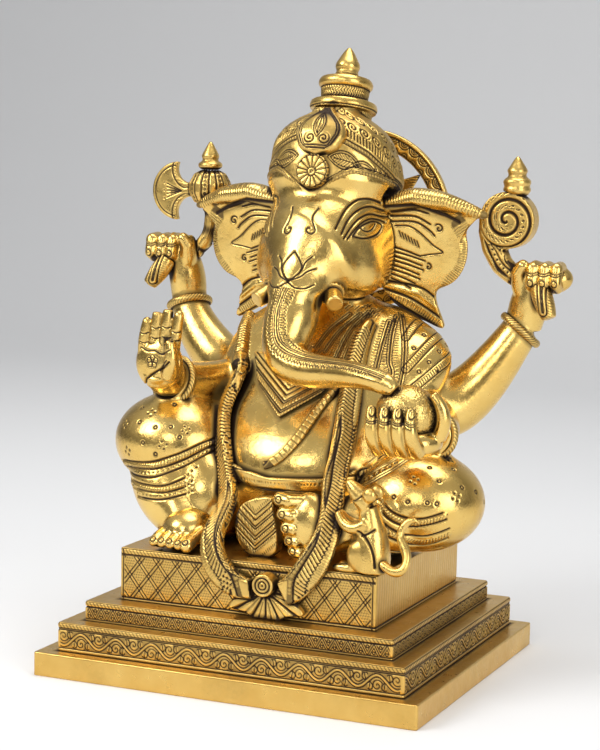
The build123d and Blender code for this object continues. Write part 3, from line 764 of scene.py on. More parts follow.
def chase_crown_cap(marks):
    """Feathered dome over a brow band whose beaded edges dip to a point at the front."""
    height, turn, radius = crown_place(marks.points)
    turn = np.abs(turn)
    run = turn * PER_DEGREE
    lift = height - np.interp(turn, BROW_TURNS, BROW_LEVELS)
    crest = np.interp(turn, [0, 27, 52, 65, 85, 110], [27.0, 23.0, 17.5, 13.6, 8.0, 6.0])
    marks.raise_(within(lift, 0.2, 2.4, 0.5), 0.5)
    marks.beads(run, lift - 1.5, 1.7, 0.75, 0.35)
    marks.line(lift - 2.8, 0.5, 0.45)
    marks.line(lift - 3.9, 0.45, 0.4)
    drop = crest - height
    marks.line(drop, 0.55, 0.5, lift > 3)
    marks.beads(run, drop - 1.3, 1.7, 0.75, 0.35, lift > 4.2)
    marks.line(drop - 2.7, 0.5, 0.45, lift > 4)
    band = within(lift, 3.2, FAR) * (drop > 2.2)
    for centre, level, long, tall in ((30, 11.6, 8.8, 4.6), (49, 9.4, 6.2, 2.9)):
        u, v = (turn - centre) * PER_DEGREE, height - level + 0.09 * (turn - centre)
        leaf = np.abs(v) - tall * (1 - (u / long) ** 2)
        marks.line(leaf, 0.55, 0.6, band * (np.abs(u) < long + 0.6))
        marks.line(leaf + 1.25, 0.45, 0.45, band * (np.abs(u) < long))
        marks.line(v, 0.42, 0.45, (np.abs(u) < long * 0.62) * band)
        marks.line(wave(u + np.abs(v), 1.6), 0.38, 0.3, (leaf < -1.5) * band * (tall > 4))
    for k in range(5):
        u, v = (turn - 60 - 5.5 * k) * PER_DEGREE, height - (9.4 - 0.75 * k)
        marks.line(np.hypot(u, v) - 0.6, 0.4, 0.35)
    top = height - crest
    over = ease((top - 1.2) / 0.5)
    bay = turn / 12.0 + 0.5
    u = (bay - np.floor(bay) - 0.5) * radians(12.0) * np.clip(radius, 12, 34)
    v = top - 8.4
    curl, disc = spiral_field(u - 0.3, v, 2.7, 1.7, 2.2)
    marks.line(curl, 0.6, 0.62, disc * over)
    marks.line(wave(u + 0.8 + 0.05 * (v + 2.5), 1.7), 0.52, 0.55, over * ease((-2.6 - v) / 0.5))
    curl, disc = spiral_field(-u, top - 15.5, 2.3, 1.7, 0.6)
    marks.line(curl, 0.55, 0.58, disc * over)
    marks.press(over * (1 - disc) * ease((v - 2.4) / 0.5), 0.12, 0.25)


def chase_drum(marks, base, cap, pitch):
    """Upright flutes between plain rims."""
    height, turn, radius = crown_place(marks.points)
    side = ease((0.75 - np.abs(marks.normals @ CROWN_AXIS)) / 0.3)
    run = np.radians(turn) * radius + 0.6 * np.sin(height * 2)
    marks.hatch(run, within(height, base, cap) * side, pitch, 0.5, 0.5, 0.85)
    marks.lines(height, (base, cap), 0.5, 0.35, side)


def chase_crown_boss(marks):
    """A round flower of fourteen petals about an eye."""
    radius, angle = marks.disc(marks.middle)
    half = pi / 14
    marks.line(wave(angle + half, 2 * half) * radius, 0.4, 0.55, within(radius, 2.2, 9, 0.3))
    marks.line(radius - 7.2 - 0.9 * np.sqrt(np.abs(np.cos(angle * 7))), 0.45, 0.5)
    marks.lines(radius, (2.1, 0.55), 0.4, 0.5)


def chase_crown_leaf(marks):
    """A raised drop with a cord round its edge, an inner leaf and two curls at its foot."""
    u, v = marks.x - LEAF_HEART[0], (marks.points - LEAF_HEART) @ LEAF_UP
    rim = np.abs(u) - np.interp(v, LEAF_LEVELS, LEAF_HALVES)
    marks.line(np.maximum(rim + 2.4, np.maximum(v - 14.5, -10.8 - v)), 0.45, 0.4)
    marks.line(np.maximum(rim + 3.7, np.maximum(v - 12.0, -9.4 - v)), 0.38, 0.32)
    leaf = np.abs(u) - 2.9 * (1 - ((v - 2.2) / 7.4) ** 2)
    inside = (np.abs(v - 2.2) < 7.6) * (np.abs(u) < 4)
    marks.line(leaf, 0.5, 0.55, inside)
    marks.line(leaf + 1.2, 0.4, 0.4, inside)
    marks.line(u, 0.38, 0.35, inside * (leaf < -1.0))
    for hand in (-1, 1):
        curl, disc = spiral_field(u * hand - 3.6, v + 5.6, 2.9, 1.8, 1.0)
        marks.line(curl, 0.5, 0.55, disc)


# Halo ----------------------------------------------------------------------------------------------
def chase_halo_ring(marks):
    """Overlapping scallops inside a plain rim, on both faces."""
    outer, pitch = (marks.high[0] - marks.low[0]) / 2, 6.3
    radius, angle = marks.disc(marks.middle)
    run, depth = angle * (outer - 6), outer - radius
    face = marks.faces(0.24, True, 0.4)
    marks.line(depth - 2.2, 0.5, 0.45, face)
    marks.line(depth - 8.2, 0.45, 0.4, face)
    inside = within(depth, 2.2, 8.2, 0.2) * face
    for shift, level, sizes in ((0, 2.4, (2.9, 1.7, 0.7)), (0.5, 8.2, (1.7, 0.7))):
        u = (run / pitch + shift + 0.5) % 1 * pitch - pitch / 2
        marks.lines(np.hypot(u, depth - level), sizes, 0.4, 0.35, inside)


def chase_halo_star(marks):
    """Petals edged with short nicks."""
    rim = (marks.high[0] - marks.low[0]) / 2
    radius, angle = marks.disc(marks.middle)
    face = marks.faces(0.24, True, 0.4)
    marks.hatch(angle * radius, within(radius, rim * 0.8, rim, 0.4) * face, 1.6, 0.45, 0.35)
    marks.line(wave(angle, pi / 7) * radius, 0.4, 0.35, face * within(radius, 8, rim))


# Head ----------------------------------------------------------------------------------------------
# Width, depth and 3-D stations of each line on the visible side of the face; the other side mirrors them
FACE_LINES = (
    (0.85, 0.8, (  # brow folds
        (16.8, 4.6, 215.2), (17.9, 10, 221.7), (19.2, 15.7, 226.3), (22.2, 20.8, 229), (26, 26.1, 229.1),
        (29.4, 33, 227.2),
    )),
    (0.85, 0.8, (
        (19.6, 5.7, 212.7), (20.8, 11.3, 219.7), (23, 19.1, 224.3), (26.1, 26.3, 225.7), (29.4, 33, 224.1),
        (30.1, 43.3, 221),
    )),
    (0.85, 0.8, (
        (20.9, 6.1, 210.6), (22.7, 11.2, 216.3), (24.5, 17.4, 220.3), (26.8, 24.9, 222.2), (29.8, 32, 221),
        (30.5, 43.3, 219),
    )),
    (0.85, 0.8, (
        (22.2, 7.6, 210.3), (23.6, 10.9, 213.7), (25.4, 16.3, 217.5), (27.3, 23.4, 219.8),
        (29.5, 29.3, 219.4), (31.4, 34, 217.9),
    )),
    (0.85, 0.85, (  # eye
        (23.9, 10.3, 211.6), (25.2, 14.2, 215.3), (26.8, 19.4, 217.5), (28.7, 25.8, 218.6),
        (30.9, 30.9, 216.6), (30.8, 26.4, 212.6), (29.2, 19.4, 210.8), (26.8, 14.3, 210.6),
        (23.9, 10.3, 211.6),
    )),
    (0.7, 0.5, (  # iris
        (25.4, 15.4, 216.6), (26.4, 15.9, 214.6), (28.1, 19, 213.8), (29.1, 23, 215), (29.2, 26.2, 217.4),
    )),
    (0.7, 0.4, (  # forehead flame
        (7, 6.5, 225), (5.7, 3.1, 221.9), (6.4, 0.1, 219.1), (8, -1.4, 216.3), (8.8, -2.2, 214),
        (7, -3.1, 212.6), (4.9, -3, 213.5), (4.6, -2.3, 215.3), (6.1, -2.1, 215.4),
    )),
    # lotus at the trunk's root
    (0.7, 0.5, (
        (0, -6.9, 204.2), (3.6, -7.8, 199.7), (5.2, -9.2, 196.2), (3, -11.8, 192.4), (0, -13.6, 190.5),
    )),
    (0.7, 0.5, ((9.2, -5.5, 201.8), (6.4, -7.5, 199), (5.3, -9.7, 195.2), (2, -12.6, 191.5))),
    (0.7, 0.5, ((11.3, -5.6, 196), (8, -8.5, 194.7), (5.3, -11.5, 192.2), (0, -14, 190))),
    (0.7, 0.5, ((11.8, -8.3, 188.5), (8.7, -12.8, 186.8), (4.4, -15.2, 187.2), (0, -14.2, 189.6))),
)
TRUNK_RIDGE = (
    (0.1, -15.2, 188.3), (-1.2, -17.7, 183.9), (-2.7, -19.4, 177.9), (-2.2, -22.6, 171.5),
    (-0.8, -25, 165.7), (1.8, -26.5, 161.3), (5.9, -27.4, 158.6), (12.2, -28.5, 156.8),
    (22.5, -31.8, 155.7), (32.9, -36.1, 155.8), (42.3, -40.2, 155.9), (50.8, -43.8, 155.2),
    (57.1, -45.8, 154.2),
)
EAR_RIM = ((30, 229), (45, 232), (62, 230), (78, 224))
EAR_EDGE = ((66.5, 217.7), (70.4, 211), (70.6, 204.3), (68, 195.2), (61.5, 187), (58, 180))
EAR_FOLD = ((28, 183.5), (41.5, 179), (56.6, 169.5))
# Width, depth and (x, z) stations of the lines on an ear
EAR_LINES = [
    (0.75, 0.5, ((33, 222.8), (44, 224), (51, 222.6))),
    (0.75, 0.5, ((32, 220.6), (44, 221), (52, 217.2))),
    (0.75, 0.5, ((31.5, 218), (44, 218.2), (51, 214.5), (54, 211.5))),
    (0.6, 0.4, ((34, 216), (41, 216), (46.5, 212.9), (53, 207), (58.1, 203.4), (52, 202.2), (47, 201.2))),
    (0.7, 0.5, spiral(56.2, 215.3, 2.3, 1.3)),
    (0.65, 0.5, spiral(50.6, 195.9, 1.8, 1.2)),
    (0.9, 0.8, ((29.9, 188), (45.9, 185.4), (54.3, 179.9))),
    (0.9, 0.8, ((28, 183.9), (41.5, 179.4), (56.6, 170))),
    (0.8, 0.8, ((28.3, 180.8), (38.9, 174.2), (56.5, 164.6))),
]
for k, reach in enumerate((15, 17.5, 15.5, 16.5, 14, 14.5, 12, 9.5)):
    top, tip = 205.6 - 2.3 * k, 31.5 + reach
    EAR_LINES.append((0.7, 0.45, ((31.5, top), (31.5 + reach * 0.5, top - 2.0), (tip, top - 4.6))))
for k in range(7):
    EAR_LINES.append((0.55, 0.35, ((36 + 1.5 * k, 213.4 - 0.8 * k), (37 + 1.5 * k, 210.4 - 0.8 * k))))


def shape_head(block, solid):
    """Runs brow, cheeks and trunk into one form, up under the crown's brow line."""
    axes = block.axes()
    skull = BOXES["head"][1] - np.array([31.0, 30.5, 31.0])
    skull[0] = 0.0
    face = ellipsoid_field(axes, skull, (31.0, 30.5, 31.0))
    bones = (skull + (0, -25, -2), skull + (0, -37, -18), skull + (0, -49, -34))
    trunk = chain_field(axes, bones, (15, 14.5, 13))
    face = smooth_min(face, trunk, 15.0)
    face = smooth_min(face, ellipsoid_field(axes, skull + (0, -21, -9), (22, 18, 19)), 12.0)
    face = smooth_min(face, ellipsoid_field(axes, (0, 24, 208), (27.5, 22, 25)), 9.0)
    for side in (-16, 16):
        face = smooth_min(face, ellipsoid_field(axes, skull + (side, -13, -14), (16, 15, 15)), 11.0)
    under = np.maximum(block.sample("crown_cap") + 1.3, (brow_lift(block)[1] - 1.5) * 0.8)
    joined = np.clip(smooth_min(solid, under, 5.0), -BAND, BAND)
    face = np.clip(smooth_min(face.astype(np.float32), under, 9.0), -BAND, BAND)
    filled = fill_creases(smooth_min(joined, face, 6.0), 5.5, block.voxel, 0.3)
    upper = ease((axes[2] - 178) / 8)
    return joined * (1 - upper) + filled * upper


def chase_head(marks):
    """Eyes, brows, forehead flame, lotus at the trunk's root and the nicked bands down the trunk."""
    for width, depth, stations in FACE_LINES:
        for side in (1, -1):
            marks.trace([(x * side, y, z) for x, y, z in stations], width, depth)
    away, run, side = marks.follow(TRUNK_RIDGE, 9)
    side = np.abs(side)
    ridge = (away < 8) * ease(run / 2) * ease((104 - run) / 10)
    marks.line(side - 0.75, 0.5, 0.5, ridge)
    marks.line(side - 1.75, 0.42, 0.35, ridge)
    marks.hatch(run, within(side, 2.3, 3.9, 0.35) * ridge, 1.35, 0.45, 0.4, 0.8)
    scallop = np.interp(run, [0, 50, 100], [4.9, 4.2, 2.6]) + 0.45 * np.cos(2 * pi * run / 1.9)
    marks.line(side - scallop, 0.42, 0.35, ridge)


def shape_ear(block, solid, side):
    """A fuller flap and a heavier roll along the ear's upper edge."""
    axes = block.axes()
    flap = ellipsoid_field(axes, (side * 55.0, 47.5, 205.0), (15.4, 2.3, 19.5))
    rim = ((30, 39.5, 226), (45, 38, 230), (60, 40.5, 228.5), (79, 47.5, 222.3))
    roll = chain_field(axes, [(side * x, y, z) for x, y, z in rim], (4.6, 4.9, 4.2, 1.5))
    return kept(smooth_min(smooth_min(solid, flap, 2.5), roll, 2.0))


def chase_ear(marks):
    """A nicked upper roll and edge with painted shade under the roll, engraved lines and curls on the flap, and
    folds above the lower lobe.
    """
    marks.flatten(fold=True)
    x, z = marks.flat[:, 0], marks.z
    front = marks.faces(-0.1)
    for width, depth, stations in EAR_LINES:
        marks.trace(stations, width, depth, 0.9, front, 3)
    away, run, _ = marks.follow(EAR_RIM, 9)
    roll = z > np.interp(x, [30, 45, 62, 78], [226, 229, 227, 219])
    marks.hatch(run, front * ease((5.0 - away) / 0.8) * roll, 1.5, 0.45, 0.3, 0.55)
    under = np.interp(x, [30, 45, 60, 66, 72], [225.5, 226.5, 222, 219, 216])
    marks.line(z - under, 1.6, 0.8, front * (x < 67), 1.0)
    # Painted shade under the upper roll: the flap is darkened here with no depth.
    marks.press(ease(1 - (under - z) / 5) * (z < under) * front * (x < 66), 0.0, 0.45)
    away, run, _ = marks.follow(EAR_EDGE, 6)
    marks.hatch(run, front * ease((4.2 - away) / 0.5), 1.25, 0.42, 0.3, 0.6)
    _, run, _ = marks.follow(EAR_FOLD, 6)
    fold = z - np.interp(x, *zip(*EAR_FOLD))
    marks.hatch(run, front * within(fold, -4.2, -1.0, 0.3), 1.3, 0.45, 0.35, 0.6)
    marks.raise_(ease(1 - np.abs(z - np.interp(x, [29, 45, 55], [185.8, 182.4, 175])) / 2.2) * front, 0.6)
    back = ease((marks.normals[:, 1] - 0.1) / 0.3)
    marks.line(wave(np.hypot(x - 28, z - 205), 9), 0.6, 0.3, back * 0.6, 0.4)


def chase_tusk(marks):
    """A beaded ferrule behind the cut tip."""
    root, tip = np.array((12.0, 10, 187)), np.array((21.0, -4, 179))
    total = np.linalg.norm(tip - root)
    axis = (tip - root) / total
    away = np.stack([np.abs(marks.x), marks.y, marks.z], 1) - root
    run = away @ axis
    out = away - run[:, None] * axis
    marks.line(run - total * 0.52, 0.6, 0.6)
    marks.line(run - total * 0.26, 0.6, 0.5)
    turn = np.arctan2(out[:, 2], out[:, 0]) * 5
    marks.hatch(turn, within(run, total * 0.30, total * 0.46, 0.3), 1.5, 0.45, 0.35, 0.6)


# Dress ---------------------------------------------------------------------------------------------
SHAWL_BANDS = (
    ((60, 40, 163.2), (57.2, 21.5, 156.2), (52.2, 12.4, 148)),
    ((67, 38, 154), (63.8, 20.4, 146.7), (56.9, 11, 139.1)),
    ((48.9, 39.3, 169.4), (47.8, 23, 162.4)),
)
SHAWL_RINGS = (
    (55.1, 29.2, 163.6), (53.2, 20.5, 157.6), (64.4, 36.3, 158.5), (63.9, 27.7, 156.1),
    (61.3, 20.5, 151.3), (58.1, 15.3, 146.9), (66, 22, 147), (63, 14, 142),
)
FOLDS = (
    ((37.1, 27.5, 169.6), (37.9, 17.4, 160.4), (38.5, 9.6, 151.2), (39.5, 2, 142)),
    ((39.1, 32.9, 171.9), (41, 21.4, 163.4), (43.7, 11.7, 151.9), (46.2, 9, 146.7), (47, 4, 139)),
    ((39.4, 37.4, 172.8), (47.9, 21.1, 160.7), (51.1, 12.6, 149.2), (51.5, 9.3, 143.3), (52, 3, 135)),
)
CHEST_FAN = (
    ((28, 30, 175), (25.5, 19.4, 165.6), (24.5, 9.2, 154.4), (24, 0, 143)),
    ((26.1, 27.8, 173.4), (20.5, 19.4, 165.2), (18, 9.2, 154.4), (17, -2, 143)),
    ((22.3, 25.4, 172.1), (15.2, 17.4, 164.2), (11, 8.8, 154.6)),
    ((17.3, 24.2, 172), (10.1, 18, 165.1), (5.5, 10, 156.1)),
)
SHOULDER_EDGE = (
    (-32, 2, 145), (-35.8, 10.5, 147.5), (-37.8, 17.4, 154.5), (-40.4, 25, 161), (-42.7, 35, 166.5),
)
THIGH_ROPE = ((50, -0.2, 107.4), (48.3, -14.5, 104.7), (41.8, -15.7, 99.5))
THIGH_DOTS = ((66, -14, 111.1), (60.2, -23.3, 107), (52, -25, 101.5), (45.3, -22.3, 97.4))
# Hem lines from the highest down with what fills the bands between them, then flowers and rings
RIGHT_HEM = (
    (
        ((-80, -24, 99), (-76.8, -31.7, 98.3), (-61.1, -37.4, 99.8), (-47.9, -34.7, 104.2),
         (-37.5, -26.6, 109.8), (-30, -14, 113)),
        ((-79, -24, 95.4), (-76.1, -30.1, 95.4), (-58.9, -38.8, 96.9), (-47.1, -33.4, 100.7),
         (-36.4, -25.6, 107), (-29, -13, 110)),
        ((-76, -26, 92.9), (-71.2, -35.1, 92.4), (-57.3, -40.3, 93.2), (-45.5, -32, 98), (-34.7, -23.1, 105),
         (-28, -12, 107)),
        ((-73, -28, 89.8), (-68.2, -37.8, 89.2), (-53, -41.4, 89.3), (-43.7, -33.9, 93), (-35.5, -21.3, 99.3)),
        ((-70, -30, 86.8), (-64.7, -40, 86.2), (-51.2, -41.9, 86.4), (-41.2, -33, 89.4), (-35, -16.1, 94)),
        ((-66, -34, 83), (-61.7, -41.4, 82.4), (-50.7, -42.7, 83.2), (-40.4, -34.6, 86), (-35, -20, 89)),
    ),
    ("cord", "dots", "plain", "cord", "dots"),
    (
        (-64.6, -30.1, 123.1), (-78.6, -30.1, 116.3), (-45, -30.7, 116.1), (-54.4, -37.1, 108.6),
        (-75.3, -34.6, 103.8), (-80, -8, 122), (-86, -16, 110),
    ),
    (
        (-82, -16, 118), (-69.5, -33.2, 118.4), (-59.5, -35.3, 116.8), (-52.1, -33.4, 117.5),
        (-47.1, -33.6, 112.7), (-65.2, -37.7, 109.1), (-58.1, -37.6, 104), (-72, -26, 124.5), (-55, -24, 127),
    ),
)
LEFT_HEM = (
    (
        ((58, -32, 96), (60, -37.3, 92.6), (65.5, -38, 87.8), (72.6, -35.5, 84.5), (80, -33.9, 84.7),
         (88, -29.9, 87.5)),
        ((59, -36, 90), (62.9, -40, 86.3), (66.9, -38.4, 82.9), (71.5, -35.2, 80.8), (77.2, -33.6, 80.7),
         (89, -28, 84.5)),
        ((62, -39, 82), (67, -38.1, 78.8), (71.2, -34.1, 76.3), (78.9, -30.3, 75.7), (90, -26, 79.7)),
        ((62, -38, 77), (66.5, -36.7, 74.1), (70.4, -31.5, 71.6), (76.2, -25.6, 70.2), (88, -23, 74.6)),
        ((60, -33, 69), (64, -31, 67), (70, -22, 65.6), (78, -20, 67.1), (84, -18, 69)),
    ),
    ("cord", "plain", "cord", "plain"),
    ((73.7, -30.6, 101.7), (92.6, -24.4, 94.6), (84, -10, 110), (98, 4, 98)),
    (
        (65.6, -35, 93.8), (72.6, -35.3, 92.3), (81.4, -33.1, 92.3), (85.5, -31.3, 91.9), (84.6, -26.2, 101.6),
        (78.5, -22.9, 106.9), (87.9, -15.7, 105.9), (98, -12.2, 95.6), (99.7, -4.5, 89.8), (93.7, -19.6, 98.5),
    ),
)


def shape_limb(block, solid):
    """Runs limbs into each other as flesh does."""
    return fill_creases(solid, 3.5, block.voxel, 0.35)


def shape_torso(block, solid):
    """The shawl's rolled edge over the right shoulder."""
    strap = chain_field(block.axes(), SHOULDER_EDGE, (4.6, 4.2, 4.0, 3.8, 3.4))
    return kept(smooth_min(shape_limb(block, solid), strap, 1.0))


def chase_leg(marks, lines, kinds, flowers, rings):
    """A polished knee with punched ornaments, over a hem of ruled bands."""
    for line in lines:
        marks.trace(line, 0.85, 0.75)
    for kind, first, second in zip(kinds, lines, lines[1:]):
        middle = [(np.array(a) + np.array(b)) / 2 for a, b in zip(first, second)]
        away, run, side = marks.follow(middle, 3)
        if kind == "cord":
            marks.raise_(dome(away, 1.6), 0.5)
            marks.hatch(run + 0.5 * side, ease((1.5 - away) / 0.5), 1.5, 0.45, 0.3, 0.6)
        elif kind == "dots":
            marks.press(ease(1 - np.hypot(wave(run, 2.6), away) / 0.85) * (away < 2), 0.4, 0.8)
    for place in flowers:  # four punch marks round a centre
        away = marks.points - np.array(place, float)
        close = np.linalg.norm(away, axis=1) < 5
        if not close.any():
            continue
        facing = marks.normals[close].mean(0)
        facing /= np.linalg.norm(facing)
        side = np.cross((0, 0, 1), facing)
        side /= np.linalg.norm(side) + 1e-9
        u, v = away @ side, away @ np.cross(facing, side)
        for angle in (0.3 + pi / 2 * turn for turn in range(4)):
            drop = np.hypot(u - 1.9 * cos(angle), v - 1.9 * sin(angle))
            marks.press(ease(1 - drop / 1.15) * close, 0.55, 0.9)
    marks.line(closest(marks.points, rings) - 0.85, 0.55, 0.35)
    if marks.node == "left_leg":
        chase_thigh(marks)


def chase_thigh(marks):
    """The cord and the punched band where the cloth meets the belly."""
    away, run, _ = marks.follow(THIGH_ROPE, 4)
    marks.hatch(run, ease((1.6 - away) / 0.5), 1.6, 0.5, 0.45, 0.8)
    marks.line(away - 2.0, 0.6, 0.5)
    away, run, side = marks.follow(THIGH_DOTS, 6)
    marks.line(away - 2.6, 0.6, 0.6)
    marks.line(np.hypot(wave(run, 3.4), side) - 0.7, 0.5, 0.4, away < 2)
    marks.line(away - 4.2, 0.5, 0.4)


def chase_torso(marks):
    """Shawl over the left shoulder, pleats across the chest, its rolled edge and its folds down the back."""
    for line in SHAWL_BANDS:
        away, run, _ = marks.follow(line, 6)
        marks.raise_(dome(away, 1.5), 0.25)
        marks.line(away - 2.0, 0.5, 0.55)
        marks.hatch(run, ease((1.3 - away) / 0.4), 1.5, 0.45, 0.3, 0.7)
    marks.line(closest(marks.points, SHAWL_RINGS) - 0.9, 0.55, 0.4)
    for line in FOLDS:
        away, run, side = marks.follow(line, 6)
        marks.line(away, 0.6, 0.7)
        marks.line(away - 1.3, 0.42, 0.35)
        if line != FOLDS[-1]:
            marks.hatch(run, within(side, -3.6, -1.8, 0.3) * (away < 4), 1.5, 0.45, 0.35, 0.7)
            marks.hatch(run + 0.7, within(side, 1.8, 3.4, 0.3) * (away < 4), 1.7, 0.45, 0.35, 0.7)
    for line in CHEST_FAN:
        away, run, side = marks.follow(line, 6)
        marks.line(away, 0.55, 0.65)
        marks.line(away - 1.1, 0.4, 0.35)
        marks.dots(run, side, 1.3, 0.55, 0.35, within(np.abs(side), 1.5, 4.2, 0.3) * (away < 5))
    away, run, side = marks.follow(SHOULDER_EDGE, 8)
    marks.hatch(run + 0.5 * side, ease((2.7 - away) / 0.5), 1.7, 0.5, 0.4, 0.8)
    marks.line(away - 3.3, 0.6, 0.6)
    chase_thigh(marks)
    back = ease((marks.y - 44) / 6) * (marks.x > -48)
    for level in (112, 127, 142, 157):
        sweep = np.abs(marks.z + 0.55 * marks.x - level)
        marks.line(sweep - 1.6, 0.7, 0.5, back)
        marks.hatch(marks.x * 0.9 - marks.z * 0.4, back * ease((1.3 - sweep) / 0.4), 1.8, 0.5, 0.3, 0.5)


def spine(node, count=8):
    """A line of centres through level slices of a CAD node."""
    points, _ = cad_mesh(node)
    low, high = BOXES[node][0][2], BOXES[node][1][2]
    rows = []
    for k in range(count):
        away = np.abs(points[:, 2] - (low + (high - low) * (k + 0.5) / count))
        close = away < (high - low) / count * 0.8
        if close.any():
            rows.append(points[close].mean(0))
    return rows


def chase_sash(marks, outer):
    """A hanging fringe: beaded cord on its inner side, a dark channel, then long looped stitches and a roll."""
    _, run, side = marks.follow(spine(marks.node, 16), 14)
    side = side * outer
    marks.beads(run, side + 4.2, 1.8, 0.85, 0.35)
    marks.line(side + 2.6, 0.7, 0.8, 1.0, 1.0)
    marks.hatch(run + side * 0.55, within(side, -1.9, 3.0, 0.3), 1.9, 0.55, 0.6, 0.95)
    marks.line(side - 3.2 - 0.35 * np.cos(2 * pi * run / 1.9), 0.45, 0.4)
    marks.hatch(run, within(side, 4.0, 6.4, 0.3), 1.2, 0.35, 0.14, 0.3)


def chase_necklace(marks):
    """Chevrons that repeat the pendant's outline."""
    level = marks.z - marks.low[2] - np.abs(marks.x + 1.0) * 0.62
    marks.lines(level, (2.6, 3.6, 6.6, 7.6, 10.2, 12.6, 15), 0.55, 0.6)
    marks.hatch(marks.x, within(level, 0.6, 2.2, 0.2), 1.3, 0.45, 0.3, 0.6)
    marks.hatch(marks.x + 0.5, within(level, 4.2, 6.0, 0.2), 1.3, 0.45, 0.3, 0.6)


def chase_belt(marks):
    """A twisted cord over a band of punched dots."""
    turn = np.arctan2(marks.x - marks.middle[0], marks.middle[1] - marks.y) * 45
    rise = marks.z - marks.low[2]
    sag = rise - 4.0 - 0.0012 * (marks.x - 3) ** 2
    marks.rope(turn, marks.z - marks.high[2] + 2.2, 1.3, 1.5, 0.3)
    marks.dots(turn, sag - 0.6, 2.8, 0.7, 0.4, within(sag, -0.6, 1.8, 0.2))
    marks.line(rise - 1.3, 0.5, 0.5)


def chase_thread(marks):
    """Two edge lines with short nicks between them."""
    _, run, side = marks.follow(spine(marks.node), 10)
    marks.line(np.abs(side) - 2.1, 0.6, 0.5)
    marks.hatch(run, within(side, -1.2, 1.2, 0.3), 3.0, 0.4, 0.3, 0.6)


def chase_apron(marks):
    """Nested pleats that open like a fan."""
    u, v = marks.x - marks.middle[0], marks.z - marks.low[2]
    front = marks.faces(0.2)
    bend = v - 0.9 * np.abs(u + 0.5)
    marks.lines(bend, (3.2, 5.0, 8.0, 9.6, 13.0, 14.4, 17.5, 20), 0.6, 0.7, front)
    marks.hatch(u * 1.2 + v * 0.5, within(bend % 4.9, 1.6, 3.2, 0.2) * front, 1.4, 0.5, 0.4, 0.7)


def chase_rosette(marks):
    """Concentric rings about a punched eye."""
    radius, _ = marks.disc(marks.middle)
    for level, width in ((0, 0.9), (1.9, 0.6), (3.6, 0.7)):
        marks.line(radius - level, width, 0.7, marks.faces(0.2))


def chase_bow(marks):
    """Leaves that spread below the rosette, each with a rib."""
    u, v = marks.x - marks.middle[0], marks.z - marks.high[2] + 2
    front, angle, radius, pitch = marks.faces(0.2), np.arctan2(u, -v), np.hypot(u, v), 0.5
    reach = np.clip(radius, 0, 12)
    marks.line(wave(angle, pitch) * reach, 0.75, 0.9, front, 1.0)
    marks.line(wave(angle + pitch / 2, pitch) * reach, 0.45, 0.35, front * (radius > 5), 0.6)


def chase_bangle(marks):
    """A ring cut as a twisted rope, its axis found from its own spread."""
    cad, _ = cad_mesh(marks.node)
    axis, u, v = np.linalg.eigh(np.cov((cad - cad.mean(0)).T))[1].T
    away = marks.points - (cad.min(0) + cad.max(0)) / 2
    height = away @ axis
    out = away - height[:, None] * axis
    radius = np.linalg.norm(out, axis=1)
    outer = ease((marks.normals * out).sum(1) / radius + 0.3)
    turn = np.arctan2(away @ v, away @ u)
    marks.hatch(turn * radius.mean() + height * 0.9, outer, 1.7, 0.5, 0.3, 0.7)


# Hands and feet ------------------------------------------------------------------------------------
FISTS = {1: (101.5, 62, 185), -1: (-96.5, 62, 191)}
FINGER_PITCH = 6.1
LEFT_TOES = (89.5, 82.6, 76.0, 70.2, 65.4)  # levels of the stacked toes
PALM = (-61.2, 0, 149.2)
# Width, depth and (x, z) stations of the creases of the raised palm
PALM_LINES = [
    (0.8, 0.9, ((-66.8, 137.2), (-64.5, 140.6), (-60.3, 143.4), (-55, 146.6), (-50.6, 149.7))),
    (0.6, 0.4, ((-68.5, 155.6), (-64.5, 154.2), (-60, 154.4), (-56, 153), (-50.5, 155.5))),
    (0.5, 0.3, ((-57, 144.5), (-55.5, 147.5), (-52, 150.5))),
]
for x, *levels in ((-67, 162.5, 158), (-60.5, 165.5, 160.5), (-54.5, 166, 161), (-49.2, 164, 160)):
    for z in levels:
        PALM_LINES.append((0.5, 0.35, ((x - 2.3, z + 0.4), (x, z - 0.3), (x + 2.3, z + 0.4))))


def shape_fist(block, solid, side):
    """Three curled fingers and a thumb, each with its own knuckle."""
    axes, (x, y, z) = block.axes(), FISTS[side]
    field = smooth_min(solid, ellipsoid_field(axes, (x + side * 6, y - 1, z + 7), (13, 8, 8)), 3.0)
    for i in range(3):
        kx = x + side * (0.5 + FINGER_PITCH * i)
        bones = (kx, y - 2, z + 12.6), (kx, y - 8.6, z + 12.0), (kx, y - 10.2, z + 5.0), (kx, y - 6, z + 2.6)
        field = np.minimum(field, chain_field(axes, bones, (3.2, 3.3, 3.0, 2.8)))
    bones = (x - 6 * side, y - 4, z), (x - 7.5 * side, y - 6, z + 9), (x - 5 * side, y - 7, z + 13)
    return kept(smooth_min(field, chain_field(axes, bones, (4, 3.6, 3.2)), 0.8))


def chase_fist(marks, side):
    """Nails and joint creases on the curled fingers."""
    x, _, z = FISTS[side]
    face = marks.faces(0)
    for i in range(3):
        u, v = marks.x - x - side * (0.5 + FINGER_PITCH * i), marks.z - z - 4.9
        close = (np.abs(u) < 3.2) * face
        marks.line(np.hypot(u / 0.85, v) - 1.7, 0.5, 0.35, close)
        marks.lines(v - 0.1 * u * u, (3.6, 4.7), 0.42, 0.3, close)


def shape_left_foot(block, solid):
    """Five toes stacked one over another, clear of the sole."""
    for i, z in enumerate(LEFT_TOES):
        bones = (25 + 1.4 * i, -43, z - 0.5), (18 + 1.6 * i, -48.2, z), (13 + 1.8 * i, -47, z + 0.4)
        solid = np.minimum(solid, chain_field(block.axes(), bones, [3.5 - 0.2 * i] * 3))
    return kept(solid)


